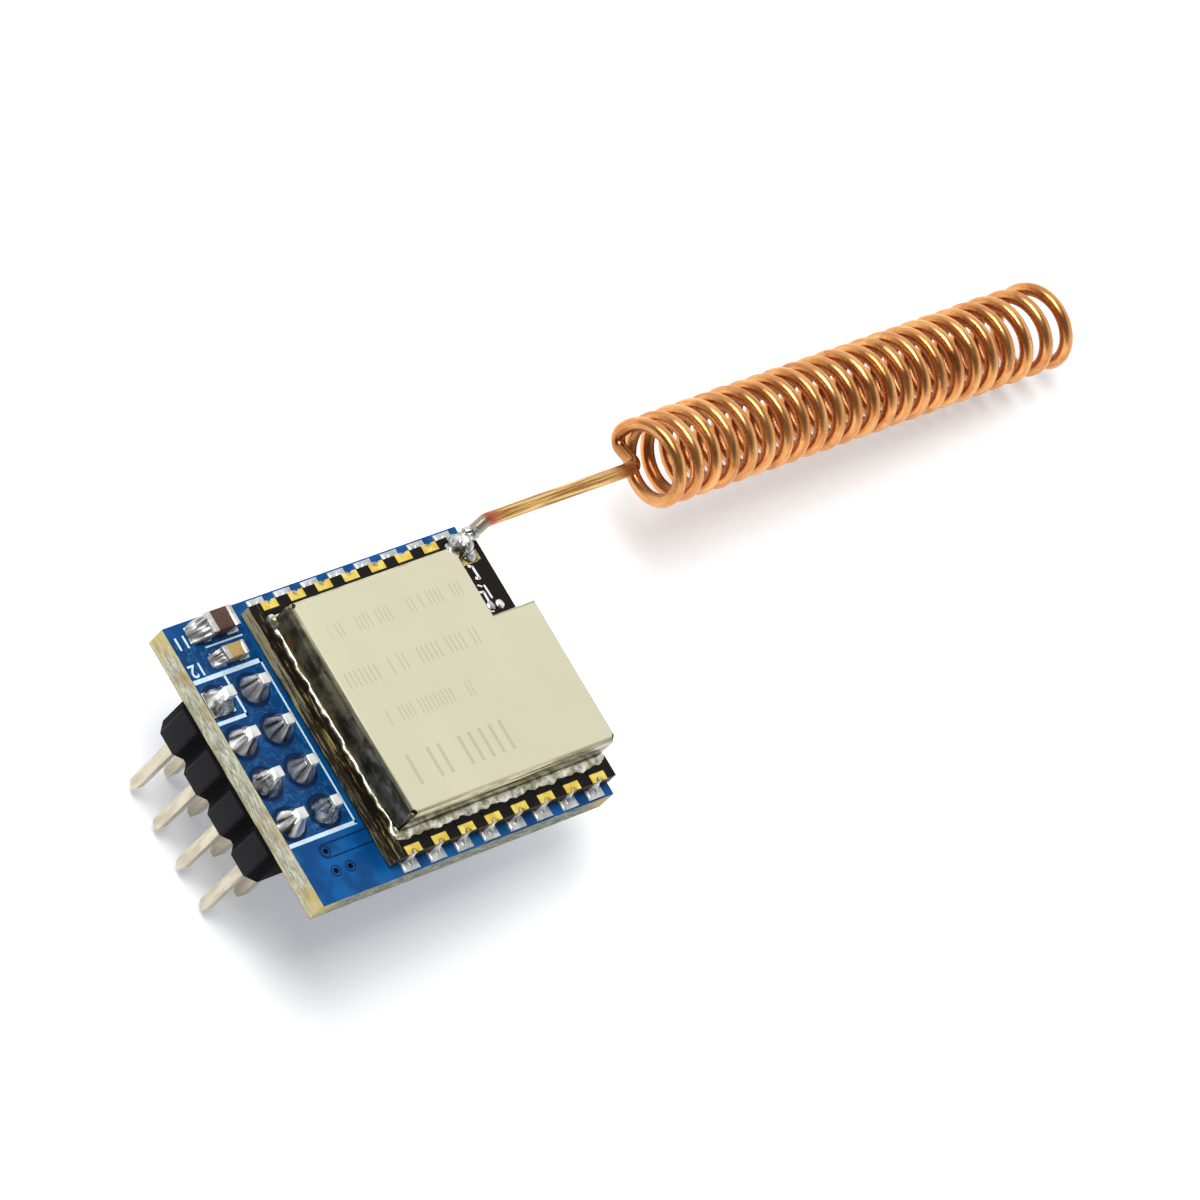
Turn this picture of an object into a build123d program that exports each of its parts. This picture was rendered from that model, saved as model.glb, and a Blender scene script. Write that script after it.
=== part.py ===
from build123d import *
import os
from math import cos, pi, radians, sin, sqrt, tan

# Radio module with a coil antenna, soldered on an adaptor board with a two-row pin header.
# Millimetres. X runs along the board from the header to the antenna, Y across it, Z up.
# The origin is the middle of the pin array, on the underside of the header's plastic body,
# which is the face that seats on the socket the module is plugged into.

# Pin header
pin_pitch = 2.54
pin_rows = 4
pin_columns = 2
pin_width = 0.64
pin_below_body = 5.6
pin_above_board = 1.4
pin_taper_length = 0.5
pin_tip_width = 0.34
body_height = 2.54
body_depth = 4.9
body_chamfer = 0.6
body_web_width = 0.26
body_web_step = 0.12

# Adaptor board
board_ledge = 0.7
board_thickness = 1.5
header_inset = 0.8
module_clearance = 1.06
pin_hole_diameter = 1.0
pin_pad_radius = 0.77
pad_thickness = 0.05
via_diameter = 0.34
via_places = ((1.97, 1.58), (3.0, 1.55), (2.02, 2.76))

# Soldered header joints
joint_height = 1.12
joint_top_radius = 0.4
joint_waist = 0.16
joint_waist_share = 0.45
square_joint_top = 0.78
square_joint_height = 0.9

# Module board with plated half holes along both long edges
module_width = 15.9
module_thickness = 0.85
contact_count = 8
contact_pitch = 2.0
contact_first_inset = 1.36
contact_last_inset = 1.24
half_hole_radius = 0.3
plating = 0.04
contact_width = 1.1
contact_depth = 0.78
landing_width = 1.2
landing_edge_margin = 0.1
landing_reach = 0.7

# Solder in the half holes
edge_solder_width = 0.5
edge_solder_height = 0.62
edge_solder_run = 0.5

# Shield can
shield_height = 2.0
shield_sheet = 0.2
shield_margin_left = 0.86
shield_margin_right = 0.29
shield_margin_front = 1.38
shield_margin_back = 1.17
shield_bend = 0.3
shield_notch_length = 3.15
shield_notch_width = 4.4
shield_corner_cut = 0.5
shield_slit = 0.1
shield_slit_length = 0.8
relief_radius = 0.28
relief_depth = 0.45
seam_height = 0.3
seam_wide = 0.42
seam_narrow = 0.16
seam_top = 0.05

# Chip capacitors on the adaptor board: size, end width, gap to the module, distance from the back edge
chip_edge_gap = 0.22
chip_row_gap = 0.78
capacitor_one = dict(length=2.0, width=1.22, height=1.0, cap=0.42, gap=1.05, inset=chip_edge_gap)
capacitor_two_inset = chip_edge_gap + capacitor_one["width"] + chip_row_gap
capacitor_two = dict(length=1.6, width=0.8, height=0.75, cap=0.33, gap=1.32, inset=capacitor_two_inset)
fillet_run = 0.4
fillet_share = 0.7
fillet_mid_rise = 0.36
fillet_mid_run = 0.3
chip_end_round = 0.25
chip_pad_margin = 0.06

# Parts under the shield: each middle is a share of the module board's length and width
chip_size = 5.0
chip_height = 0.85
chip_place = (0.566, 0.541)
chip_index_cut = 0.5
lead_count = 7
lead_pitch = 0.65
lead_width = 0.3
lead_reach = 0.28
lead_height = 0.2
crystal_length = 3.2
crystal_width = 2.5
crystal_base_height = 0.4
crystal_lid_height = 0.35
crystal_lid_margin = 0.2
crystal_place = (0.235, 0.553)
switch_size = 2.0
switch_height = 0.75
switch_place = (0.687, 0.264)
small_chip = dict(length=1.0, width=0.5, height=0.45, cap=0.22)
small_chip_places = (
    (0.217, 0.264), (0.217, 0.340), (0.398, 0.252), (0.494, 0.252),
    (0.855, 0.252), (0.855, 0.390), (0.566, 0.805), (0.386, 0.805),
)

# Antenna: one copper wire with a foot, a straight lead and a right-handed coil
wire_diameter = 0.8
wire_sides = 8
coil_mean_radius = 2.3
coil_pitch = 1.44
coil_close_turns = 20
coil_open_pitch = 1.74
coil_open_turns = 2
coil_last_arc = 225
half_turn = 180
lead_height_above_module = 0.96
lead_offset_from_edge = 0.12
lead_length = 12.35
hook_angle = 25
hook_rise = 0.5
hook_radius = 0.6
lead_bend_radius = 0.7
foot_length = 1.0
foot_ramp = 1.4
foot_inset_x = 1.9
foot_inset_y = 0.72
foot_drift = 0.2
foot_bend_radius = 1.2
foot_edge_count = 5
antenna_pad_depth = 1.9
blob_radius = 0.78
blob_height = 1.3
blob_mid_radius = 0.62
blob_mid_height = 0.81
blob_turn = 100
blob_inset_x = 1.45
blob_inset_y = 0.8

# Places worked out from the sizes above
header_zone = pin_pitch * (pin_columns - 1) + 2 * header_inset + module_clearance
module_length = contact_pitch * (contact_count - 1) + contact_first_inset + contact_last_inset
board_left = -(pin_pitch * (pin_columns - 1) / 2 + header_inset)
board_right = board_left + header_zone + module_length
board_width = module_width + 2 * board_ledge
board_front = -board_width / 2
board_bottom = body_height
board_top = board_bottom + board_thickness
pads_top = board_top + pad_thickness
module_right = board_right
module_left = module_right - module_length
module_front = -module_width / 2
module_back = module_width / 2
module_bottom = pads_top + plating
module_top = module_bottom + module_thickness
contacts_top = module_top + plating
pin_top = board_top + pin_above_board
wire_radius = wire_diameter / 2
wire_corner_radius = wire_radius * sqrt(2 * pi / (wire_sides * sin(2 * pi / wire_sides)))
antenna_y = module_back - lead_offset_from_edge
antenna_z = module_top + lead_height_above_module
coil_start_x = board_right + lead_length + hook_rise

pin_places = [
    (pin_pitch * (column - (pin_columns - 1) / 2), pin_pitch * ((pin_rows - 1) / 2 - row))
    for row in range(pin_rows)
    for column in range(pin_columns)
]
contact_xs = [
    module_right - contact_last_inset - contact_pitch * (contact_count - 1 - i)
    for i in range(contact_count)
]


def block(x0, x1, y0, y1, z0, z1):
    """A box between two corners."""
    size = Box(x1 - x0, y1 - y0, z1 - z0, align=Align.MIN)
    return Pos(x0, y0, z0) * size


def cylinder(x, y, z0, z1, radius):
    """A round bar standing at x, y between two heights."""
    return Pos(x, y, z0) * Cylinder(radius, z1 - z0, align=(Align.CENTER, Align.CENTER, Align.MIN))


def prism(points, z0, z1):
    """A flat outline carried straight up between two heights."""
    face = make_face(Polyline(*points, close=True))
    return Pos(0, 0, z0) * extrude(face, z1 - z0, dir=(0, 0, 1))


def save(name, solids):
    """Write one node, from one solid or a group of separate ones."""
    group = solids if isinstance(solids, list) else [solids]
    pieces = [s for item in group for s in item.solids()]
    shape = pieces[0] if len(pieces) == 1 else Compound(children=pieces)
    export_step(shape, f"parts/{name}.step")


def header_body():
    """The plastic strip: eight-sided blocks in a row, joined by narrow webs, with pin holes."""
    half = pin_pitch / 2
    outer = body_depth / 2
    inner = outer - body_chamfer
    strip = None
    for row in range(pin_rows):
        y = pin_pitch * ((pin_rows - 1) / 2 - row)
        corner = half - body_chamfer
        outline = [
            (outer, y - corner), (outer, y + corner), (inner, y + half), (-inner, y + half),
            (-outer, y + corner), (-outer, y - corner), (-inner, y - half), (inner, y - half),
        ]
        cell = prism(outline, 0, body_height)
        strip = cell if strip is None else strip + cell
    web_reach = inner + body_web_step
    for row in range(pin_rows - 1):
        y = pin_pitch * (pin_rows / 2 - 1 - row)
        web = block(-web_reach, web_reach, y - body_web_width / 2, y + body_web_width / 2, 0, body_height)
        strip = strip + web
    side = pin_width / 2
    for x, y in pin_places:
        strip = strip - block(x - side, x + side, y - side, y + side, 0, body_height)
    return strip


def header_pin(x, y):
    """A square pin with a flat cut top and a tapered lower tip."""
    side = pin_width / 2
    shoulder = -pin_below_body + pin_taper_length
    shank = block(x - side, x + side, y - side, y + side, shoulder, pin_top)
    wide = Pos(x, y, shoulder) * Rectangle(pin_width, pin_width)
    narrow = Pos(x, y, -pin_below_body) * Rectangle(pin_tip_width, pin_tip_width)
    return shank + loft([narrow, wide])


def pin_space(x, y):
    """The space that a pin takes up in what surrounds it."""
    side = pin_width / 2
    return block(x - side, x + side, y - side, y + side, board_bottom, pin_top)


def round_joint(x, y):
    """Solder round a pin: a barrel in the hole and a hollow-sided cone above it."""
    hole = pin_hole_diameter / 2
    waist_radius = (pin_pad_radius + joint_top_radius) / 2 - joint_waist
    waist = pads_top + joint_height * joint_waist_share
    top = pads_top + joint_height
    cone = (
        Line((0, board_bottom), (hole, board_bottom))
        + Line((hole, board_bottom), (hole, pads_top))
        + Line((hole, pads_top), (pin_pad_radius, pads_top))
        + ThreePointArc((pin_pad_radius, pads_top), (waist_radius, waist), (joint_top_radius, top))
        + Line((joint_top_radius, top), (0, top))
        + Line((0, top), (0, board_bottom))
    )
    profile = make_face(Plane.XZ * cone)
    return Pos(x, y, 0) * revolve(profile, Axis.Z) - pin_space(x, y)


def square_joint(x, y):
    """Solder on the square pad of the first pin: four sloping sides over a barrel."""
    barrel = cylinder(x, y, board_bottom, pads_top, pin_hole_diameter / 2)
    base = Pos(x, y, pads_top) * Rectangle(2 * pin_pad_radius, 2 * pin_pad_radius)
    top = Pos(x, y, pads_top + square_joint_height) * Rectangle(square_joint_top, square_joint_top)
    return barrel + loft([base, top]) - pin_space(x, y)


def carrier_board():
    """The adaptor board with its pin holes and three small vias."""
    board = block(board_left, board_right, board_front, -board_front, board_bottom, board_top)
    for x, y in pin_places:
        board = board - cylinder(x, y, board_bottom, board_top, pin_hole_diameter / 2)
    for dx, dy in via_places:
        x = board_left + dx
        y = board_front + dy
        board = board - cylinder(x, y, board_bottom, board_top, via_diameter / 2)
    return board


def landing_pad(x, side):
    """A tinned pad that runs from the board's edge to under the module; side is -1 or 1."""
    outer = side * (board_width / 2 - landing_edge_margin)
    inner = side * (module_width / 2 - landing_reach)
    low, high = sorted((outer, inner))
    return block(x - landing_width / 2, x + landing_width / 2, low, high, board_top, pads_top)


def carrier_pads():
    """All the tinned copper on the adaptor board's top, as separate thin plates."""
    plates = [landing_pad(x, side) for side in (-1, 1) for x in contact_xs]
    for index, (x, y) in enumerate(pin_places):
        if index == 0:
            r = pin_pad_radius
            pad = block(x - r, x + r, y - r, y + r, board_top, pads_top)
        else:
            pad = cylinder(x, y, board_top, pads_top, pin_pad_radius)
        plates.append(pad - cylinder(x, y, board_top, pads_top, pin_hole_diameter / 2))
    for part in (capacitor_one, capacitor_two):
        for end in (-1, 1):
            plates.append(chip_pad(part, end))
    return plates


def chip_centre(part):
    """The middle of a chip capacitor, from the module and the board's back edge."""
    x = module_left - part["gap"] - part["length"] / 2
    y = board_width / 2 - part["inset"] - part["width"] / 2
    return x, y


def chip_pad(part, end):
    """The pad under one end of a chip capacitor; end is -1 or 1."""
    x, y = chip_centre(part)
    inner = x + end * (part["length"] / 2 - part["cap"])
    outer = x + end * (part["length"] / 2 + fillet_run)
    low, high = sorted((inner, outer))
    half = part["width"] / 2 + chip_pad_margin
    return block(low, high, y - half, y + half, board_top, pads_top)


def chip_body(part, x, y, z):
    """The ceramic middle of a chip part."""
    half = part["length"] / 2 - part["cap"]
    return block(x - half, x + half, y - part["width"] / 2, y + part["width"] / 2, z, z + part["height"])


def chip_end(part, x, y, z, end):
    """One plated end of a chip part, with rounded outer edges; end is -1 or 1."""
    inner = x + end * (part["length"] / 2 - part["cap"])
    outer = x + end * part["length"] / 2
    low, high = sorted((inner, outer))
    cap = block(low, high, y - part["width"] / 2, y + part["width"] / 2, z, z + part["height"])
    face = cap.faces().sort_by(Axis.X)[-1 if end > 0 else 0]
    return fillet(face.edges(), part["cap"] * chip_end_round)


def chip_fillet(part, end):
    """The solder that climbs one end of a chip capacitor, hollow-sided."""
    x, y = chip_centre(part)
    foot = part["length"] / 2 + fillet_run
    wall = part["length"] / 2
    rise = part["height"] * fillet_share
    middle = (wall + fillet_run * fillet_mid_run, rise * fillet_mid_rise)
    edge = (
        Line((wall, 0), (foot, 0))
        + ThreePointArc((foot, 0), middle, (wall, rise))
        + Line((wall, rise), (wall, 0))
    )
    half = part["width"] / 2
    face = make_face(Plane.XZ * edge)
    ramp = extrude(face, 2 * half, dir=(0, 1, 0))
    ramp = Pos(0, -half, 0) * ramp
    if end < 0:
        ramp = Rot(0, 0, 180) * ramp
    return Pos(x, y, pads_top) * ramp


def module_board():
    """The module's own board, with a half hole at each contact."""
    board = block(module_left, module_right, module_front, module_back, module_bottom, module_top)
    for x in contact_xs:
        for y in (module_front, module_back):
            board = board - cylinder(x, y, module_bottom, module_top, half_hole_radius)
    return board


def edge_contact(x, side, depth):
    """One plated contact: a pad above, a pad below and the half barrel between them."""
    edge = side * module_width / 2
    inner = side * (module_width / 2 - depth)
    below = side * (module_width / 2 - contact_depth)
    low, high = sorted((edge, inner))
    under_low, under_high = sorted((edge, below))
    half = contact_width / 2
    upper = block(x - half, x + half, low, high, module_top, contacts_top)
    lower = block(x - half, x + half, under_low, under_high, pads_top, module_bottom)
    barrel = cylinder(x, edge, pads_top, contacts_top, half_hole_radius)
    near, far = sorted((edge, edge + side * half_hole_radius))
    away = block(x - half, x + half, near, far, pads_top, contacts_top)
    bore = cylinder(x, edge, pads_top, contacts_top, half_hole_radius - plating)
    return (upper + lower + barrel) - away - bore


def edge_solder(x, side):
    """Solder that fills the foot of one half hole and runs out over the landing pad."""
    edge = side * module_width / 2
    plug = cylinder(x, edge, pads_top, pads_top + edge_solder_height, half_hole_radius - plating)
    r = half_hole_radius
    low, high = sorted((edge, edge + side * r))
    plug = plug - block(x - r, x + r, low, high, pads_top, contacts_top)
    toe = (edge + side * edge_solder_run, pads_top)
    outline = Polyline((edge, pads_top), toe, (edge, pads_top + edge_solder_height), close=True)
    ramp = extrude(make_face(Plane.YZ * outline), edge_solder_width, dir=(1, 0, 0))
    return plug + Pos(x - edge_solder_width / 2, 0, 0) * ramp


def shield_outline(grow_x0=0, grow_x1=0, grow_y0=0, grow_y1=0):
    """The can's plan with the notch at its far corner, grown by an amount on each side."""
    x0 = module_left + shield_margin_left - grow_x0
    x1 = module_right - shield_margin_right + grow_x1
    y0 = module_front + shield_margin_front - grow_y0
    y1 = module_back - shield_margin_back + grow_y1
    notch_x = x1 - shield_notch_length
    notch_y = y1 - shield_notch_width
    cut = shield_corner_cut
    return [
        (x0, y0), (x1, y0), (x1, notch_y), (notch_x, notch_y),
        (notch_x, y1 - cut), (notch_x - cut, y1), (x0, y1),
    ]


def shield_can():
    """The folded sheet cover: bent top edges, open corner slits and a relief hole at each bend."""
    top = module_top + shield_height
    t = shield_sheet
    outer = prism(shield_outline(), module_top, top)
    rim = outer.faces().sort_by(Axis.Z)[-1]
    outer = fillet(rim.edges(), shield_bend)
    hollow = prism(shield_outline(-t, -t, -t, -t), module_top, top - t)
    can = outer - hollow
    outline = shield_outline()
    slit_height = shield_height - relief_depth
    slit_half = shield_slit_length / 2
    slit = block(-slit_half, slit_half, -shield_slit / 2, shield_slit / 2, 0, slit_height)
    for (x, y), angle in ((outline[0], 45), (outline[1], -45), (outline[6], -45)):
        can = can - cylinder(x, y, top - relief_depth, top, relief_radius)
        can = can - Pos(x, y, module_top) * Rot(0, 0, angle) * slit
    return can


def shield_seam():
    """The solder bead that ties the foot of the can to the module board."""
    foot = prism_loft(
        shield_outline(seam_wide, seam_narrow, seam_wide, seam_narrow),
        shield_outline(seam_top, seam_top, seam_top, seam_top),
        module_top,
        module_top + seam_height,
    )
    return foot - prism(shield_outline(), module_top, module_top + seam_height)


def prism_loft(lower, upper, z0, z1):
    """A solid between two outlines with the same number of corners at two heights."""
    bottom = Pos(0, 0, z0) * make_face(Polyline(*lower, close=True))
    lid = Pos(0, 0, z1) * make_face(Polyline(*upper, close=True))
    return loft([bottom, lid], ruled=True)


def inner_place(place):
    """A place on the module board, from its shares of the length and width."""
    return module_left + place[0] * module_length, module_front + place[1] * module_width


def radio_chip():
    """The square radio chip's moulded body, with its first corner cut off."""
    x, y = inner_place(chip_place)
    h = chip_size / 2
    c = chip_index_cut
    outline = [(x - h + c, y - h), (x + h, y - h), (x + h, y + h), (x - h, y + h), (x - h, y - h + c)]
    return prism(outline, module_top, module_top + chip_height)


def chip_leads():
    """The chip's short flat leads, a row on each of its four sides."""
    x, y = inner_place(chip_place)
    leads = []
    for turn in range(4):
        for i in range(lead_count):
            along = lead_pitch * (i - (lead_count - 1) / 2)
            near = chip_size / 2
            half = lead_width / 2
            lead = block(near, near + lead_reach, along - half, along + half, 0, lead_height)
            leads.append(Pos(x, y, module_top) * Rot(0, 0, 90 * turn) * lead)
    return leads


def crystal_base():
    """The crystal's ceramic base."""
    x, y = inner_place(crystal_place)
    a = crystal_length / 2
    b = crystal_width / 2
    return block(x - a, x + a, y - b, y + b, module_top, module_top + crystal_base_height)


def crystal_lid():
    """The crystal's metal lid."""
    x, y = inner_place(crystal_place)
    a = crystal_length / 2 - crystal_lid_margin
    b = crystal_width / 2 - crystal_lid_margin
    z = module_top + crystal_base_height
    lid = block(x - a, x + a, y - b, y + b, z, z + crystal_lid_height)
    return fillet(lid.edges().filter_by(Axis.Z), crystal_lid_margin)


def antenna_switch():
    """The small switch chip between the radio and the antenna."""
    x, y = inner_place(switch_place)
    h = switch_size / 2
    return block(x - h, x + h, y - h, y + h, module_top, module_top + switch_height)


def coil_point(start, pitch, half, angle):
    """A point on a half turn: a circle tipped so that its ends lie half a pitch apart along X."""
    side = 1 if half % 2 == 0 else -1
    radius = sqrt(coil_mean_radius**2 + (pitch / 4) ** 2)
    a = radians(angle)
    along = start + pitch / 4 * (1 - cos(a))
    return (along, antenna_y + side * coil_mean_radius * cos(a), antenna_z + side * radius * sin(a))


def coil_edges():
    """The coil as half circles that meet smoothly: close turns, then open turns, then a short arc."""
    halves = [coil_pitch] * (2 * coil_close_turns) + [coil_open_pitch] * (2 * coil_open_turns)
    last = coil_last_arc
    while last > half_turn:
        halves.append(coil_open_pitch)
        last -= half_turn
    start = coil_start_x
    edges = []
    for half, pitch in enumerate(halves):
        points = [coil_point(start, pitch, half, a) for a in (0, half_turn / 2, half_turn)]
        edges.append(ThreePointArc(*points))
        start += pitch / 2
    half = len(halves)
    points = [coil_point(start, coil_open_pitch, half, a) for a in (0, last / 2, last)]
    edges.append(ThreePointArc(*points))
    return edges


def lead_route():
    """The wire's centre line up to the coil: foot on the pad, ramp, lead on the coil's axis, hook."""
    foot_z = contacts_top + wire_corner_radius
    foot_x = module_right - foot_inset_x
    foot_y = module_back - foot_inset_y
    hook_drop = coil_mean_radius * tan(radians(hook_angle))
    points = [
        (foot_x, foot_y, foot_z),
        (foot_x + foot_length, foot_y + foot_drift, foot_z),
        (foot_x + foot_length + foot_ramp, antenna_y, antenna_z),
        (coil_start_x - hook_rise, antenna_y, antenna_z),
        (coil_start_x, antenna_y + coil_mean_radius, antenna_z - hook_drop),
        (coil_start_x, antenna_y + coil_mean_radius, antenna_z),
    ]
    radii = [foot_bend_radius, foot_bend_radius, lead_bend_radius, hook_radius]
    return FilletPolyline(*points, radius=radii).edges()


def antenna_route():
    """The centre line of the whole antenna wire."""
    return Wire(lead_route() + [e for arc in coil_edges() for e in arc.edges()])


def wire_along(route):
    """Wire along a centre line; its many-sided section has the round wire's area."""
    section = Plane(origin=route @ 0, z_dir=route % 0) * RegularPolygon(wire_corner_radius, wire_sides)
    return sweep(section, path=route)


def antenna_solder():
    """The solder dome that holds the antenna's foot on its pad."""
    x = module_right - blob_inset_x
    y = module_back - blob_inset_y
    dome = (
        Line((0, 0), (blob_radius, 0))
        + ThreePointArc((blob_radius, 0), (blob_mid_radius, blob_mid_height), (0, blob_height))
        + Line((0, blob_height), (0, 0))
    )
    lump = revolve(make_face(Plane.XZ * dome), Axis.Z)
    foot = wire_along(Wire(lead_route()[:foot_edge_count]))
    return Pos(x, y, contacts_top) * Rot(0, 0, blob_turn) * lump - foot


def main():
    os.makedirs("parts", exist_ok=True)
    save("carrier_board", carrier_board())
    save("carrier_pads", carrier_pads())
    save("header_body", header_body())
    for number, (x, y) in enumerate(pin_places, start=1):
        save(f"header_pin_{number}", header_pin(x, y))
        joint = square_joint(x, y) if number == 1 else round_joint(x, y)
        save(f"header_solder_{number}", joint)
    for name, part in (("capacitor_1", capacitor_one), ("capacitor_2", capacitor_two)):
        x, y = chip_centre(part)
        save(f"{name}_body", chip_body(part, x, y, pads_top))
        for label, end in (("left", -1), ("right", 1)):
            save(f"{name}_end_{label}", chip_end(part, x, y, pads_top, end))
            save(f"{name}_solder_{label}", chip_fillet(part, end))
    save("module_board", module_board())
    others = [(x, side) for side in (-1, 1) for x in contact_xs]
    antenna_contact = others.pop()
    save("edge_contacts", [edge_contact(x, side, contact_depth) for x, side in others])
    save("antenna_pad", edge_contact(*antenna_contact, antenna_pad_depth))
    save("edge_solder", [edge_solder(x, side) for x, side in others + [antenna_contact]])
    save("shield_can", shield_can())
    save("shield_seam", shield_seam())
    save("radio_chip", radio_chip())
    save("radio_chip_leads", chip_leads())
    save("crystal_base", crystal_base())
    save("crystal_lid", crystal_lid())
    save("antenna_switch", antenna_switch())
    ends = []
    for number, place in enumerate(small_chip_places, start=1):
        x, y = inner_place(place)
        save(f"matching_chip_{number}", chip_body(small_chip, x, y, module_top))
        ends += [chip_end(small_chip, x, y, module_top, end) for end in (-1, 1)]
    save("matching_chip_ends", ends)
    route = antenna_route()
    save("antenna_coil", wire_along(route))
    save("antenna_solder", antenna_solder())
    print("antenna wire length", round(route.length, 1), "mm")


main()
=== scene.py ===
# %% [markdown]
# This scene dresses a small radio module: a black module board with a folded metal can,
# soldered on a blue adaptor board, with a two-row pin header at one end and a long coil of
# bare copper wire at the other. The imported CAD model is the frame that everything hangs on:
# sizes and places are read from its nodes, so that a changed model carries the scene along.

# %% Load the frame and measure it
import bpy
import numpy as np
from math import cos, pi, radians, sin, tan
from mathutils import Matrix, Vector


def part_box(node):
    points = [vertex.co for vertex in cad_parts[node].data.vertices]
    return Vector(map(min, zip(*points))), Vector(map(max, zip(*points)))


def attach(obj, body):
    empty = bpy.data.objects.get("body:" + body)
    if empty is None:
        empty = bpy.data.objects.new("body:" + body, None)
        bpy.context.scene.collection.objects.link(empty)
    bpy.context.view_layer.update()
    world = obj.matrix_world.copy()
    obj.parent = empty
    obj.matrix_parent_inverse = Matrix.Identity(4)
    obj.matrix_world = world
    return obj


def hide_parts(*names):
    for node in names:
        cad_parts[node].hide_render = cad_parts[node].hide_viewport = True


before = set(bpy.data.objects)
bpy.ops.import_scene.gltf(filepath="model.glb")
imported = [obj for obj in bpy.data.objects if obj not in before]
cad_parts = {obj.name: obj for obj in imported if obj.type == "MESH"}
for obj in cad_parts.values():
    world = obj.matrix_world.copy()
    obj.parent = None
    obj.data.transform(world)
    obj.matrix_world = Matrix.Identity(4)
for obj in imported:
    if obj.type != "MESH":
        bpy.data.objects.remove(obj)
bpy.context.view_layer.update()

MM = 0.001


def span(node):
    """The lowest and highest corners of a CAD node, in millimetres."""
    low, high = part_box(node)
    return np.array(low) / MM, np.array(high) / MM


board_low, board_high = span("carrier_board")
module_low, module_high = span("module_board")
can_low, can_high = span("shield_can")
pads_top = span("carrier_pads")[1][2]
contacts_top = span("edge_contacts")[1][2]
coil_low, coil_high = span("antenna_coil")
header_low, header_high = span("header_body")
pin_low = span("header_pin_1")[0]
print("adaptor board", (board_high - board_low).round(2), "module top", module_high[2].round(2))

# %% [markdown]
# The camera comes first. Its place was worked out from the photograph: both boards, the can
# and the pin header agree on one long lens far away, turned about its own axis so that the
# coil climbs to the upper right. A long lens keeps parallel edges nearly parallel.


# %% Camera
def add_object(name, data):
    """A mesh, curve, lamp or camera put into the scene."""
    item = bpy.data.objects.new(name, data)
    bpy.context.scene.collection.objects.link(item)
    return item


view_azimuth = radians(-163.053)
view_elevation = radians(45.675)
view_roll = radians(46.798)
view_aim = np.array([25.348, 1.607, 5.0])
view_distance = 454.92
view_lens = 248.69
view_sensor = 36.0
view_limit = 10000.0

view_level = np.array([cos(view_azimuth), sin(view_azimuth), 0.0])
towards = cos(view_elevation) * view_level + (0, 0, sin(view_elevation))
level_right = np.array([-sin(view_azimuth), cos(view_azimuth), 0.0])
level_up = np.cross(towards, level_right)
view_right = cos(view_roll) * level_right + sin(view_roll) * level_up
view_up = np.cross(towards, view_right)

camera = add_object("photo_camera", bpy.data.cameras.new("photo_camera"))
camera.data.lens = view_lens
camera.data.sensor_width = view_sensor
camera.data.clip_end = view_limit * MM
turn = Matrix((view_right, view_up, towards)).transposed().to_4x4()
camera.matrix_world = Matrix.Translation(Vector((view_aim + view_distance * towards) * MM)) @ turn
bpy.context.scene.camera = camera
bpy.context.scene.view_settings.view_transform = "Standard"
print("camera", np.array(camera.location).round(4))

# %% [markdown]
# A material is a tree of small nodes. It could be wired by hand, but long sums are hard to
# follow that way, so one class wraps an output socket and lets Python's own signs add the
# Math nodes, and another class adds every other node.


# %% Sockets that take arithmetic
class Value:
    """A shader socket that takes arithmetic: each sign adds one Math node."""

    def __init__(self, nodes, socket):
        self.nodes = nodes
        self.socket = socket

    def math(self, operation, *others):
        """Any Math node, with this socket first and others after it."""
        inputs = dict(enumerate((self, *others)))
        return self.nodes.node("ShaderNodeMath", {"operation": operation}, inputs)

    def __add__(self, other):
        return self.math("ADD", other)

    def __radd__(self, other):
        return self.math("ADD", other)

    def __sub__(self, other):
        return self.math("SUBTRACT", other)

    def __rsub__(self, other):
        return self.nodes.node("ShaderNodeMath", {"operation": "SUBTRACT"}, {0: other, 1: self})

    def __mul__(self, other):
        return self.math("MULTIPLY", other)

    def __rmul__(self, other):
        return self.math("MULTIPLY", other)

    def __truediv__(self, other):
        return self.math("DIVIDE", other)

    def __abs__(self):
        return self.math("ABSOLUTE")


class Nodes:
    """A node tree that is being filled."""

    def __init__(self, tree):
        self.tree = tree

    def node(self, kind, settings=None, inputs=None, output=0):
        """Any node: its type, its settings, the values or links of its sockets, one output."""
        made = self.tree.nodes.new(kind)
        for name, value in (settings or {}).items():
            setattr(made, name, value)
        for name, value in (inputs or {}).items():
            if isinstance(value, Value):
                self.tree.links.new(value.socket, made.inputs[name])
            else:
                made.inputs[name].default_value = value
        return Value(self, made.outputs[output])

    def parts(self, vector):
        """The three numbers of a vector."""
        return [self.node("ShaderNodeSeparateXYZ", None, {0: vector}, axis) for axis in range(3)]

    def smooth(self, value, low, high):
        """0 below low, 1 above high, an S curve between them."""
        return self.node(
            "ShaderNodeMapRange", {"interpolation_type": "SMOOTHSTEP"},
            {"Value": value, "From Min": low, "From Max": high},
        )

    def within(self, value, low, high, soft=0.03):
        """1 between low and high, with soft edges."""
        below = 1 - self.smooth(value, high - soft, high + soft)
        return self.smooth(value, low - soft, low + soft) * below

    def blend(self, share, first, second):
        """A mix of two colours; a Mix node keeps its colour sockets at places 6, 7 and 2."""
        return self.node("ShaderNodeMix", {"data_type": "RGBA"}, {0: share, 6: first, 7: second}, 2)

    def reach(self, across, along):
        """The square root of two squares' sum: how far off a point is in a plane."""
        return (across.math("POWER", 2.0) + along.math("POWER", 2.0)).math("SQRT")

    def highest(self, masks):
        """The largest of several masks at each point."""
        top = masks[0]
        for mask in masks[1:]:
            top = top.math("MAXIMUM", mask)
        return top


print("arithmetic on sockets ready")

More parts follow.
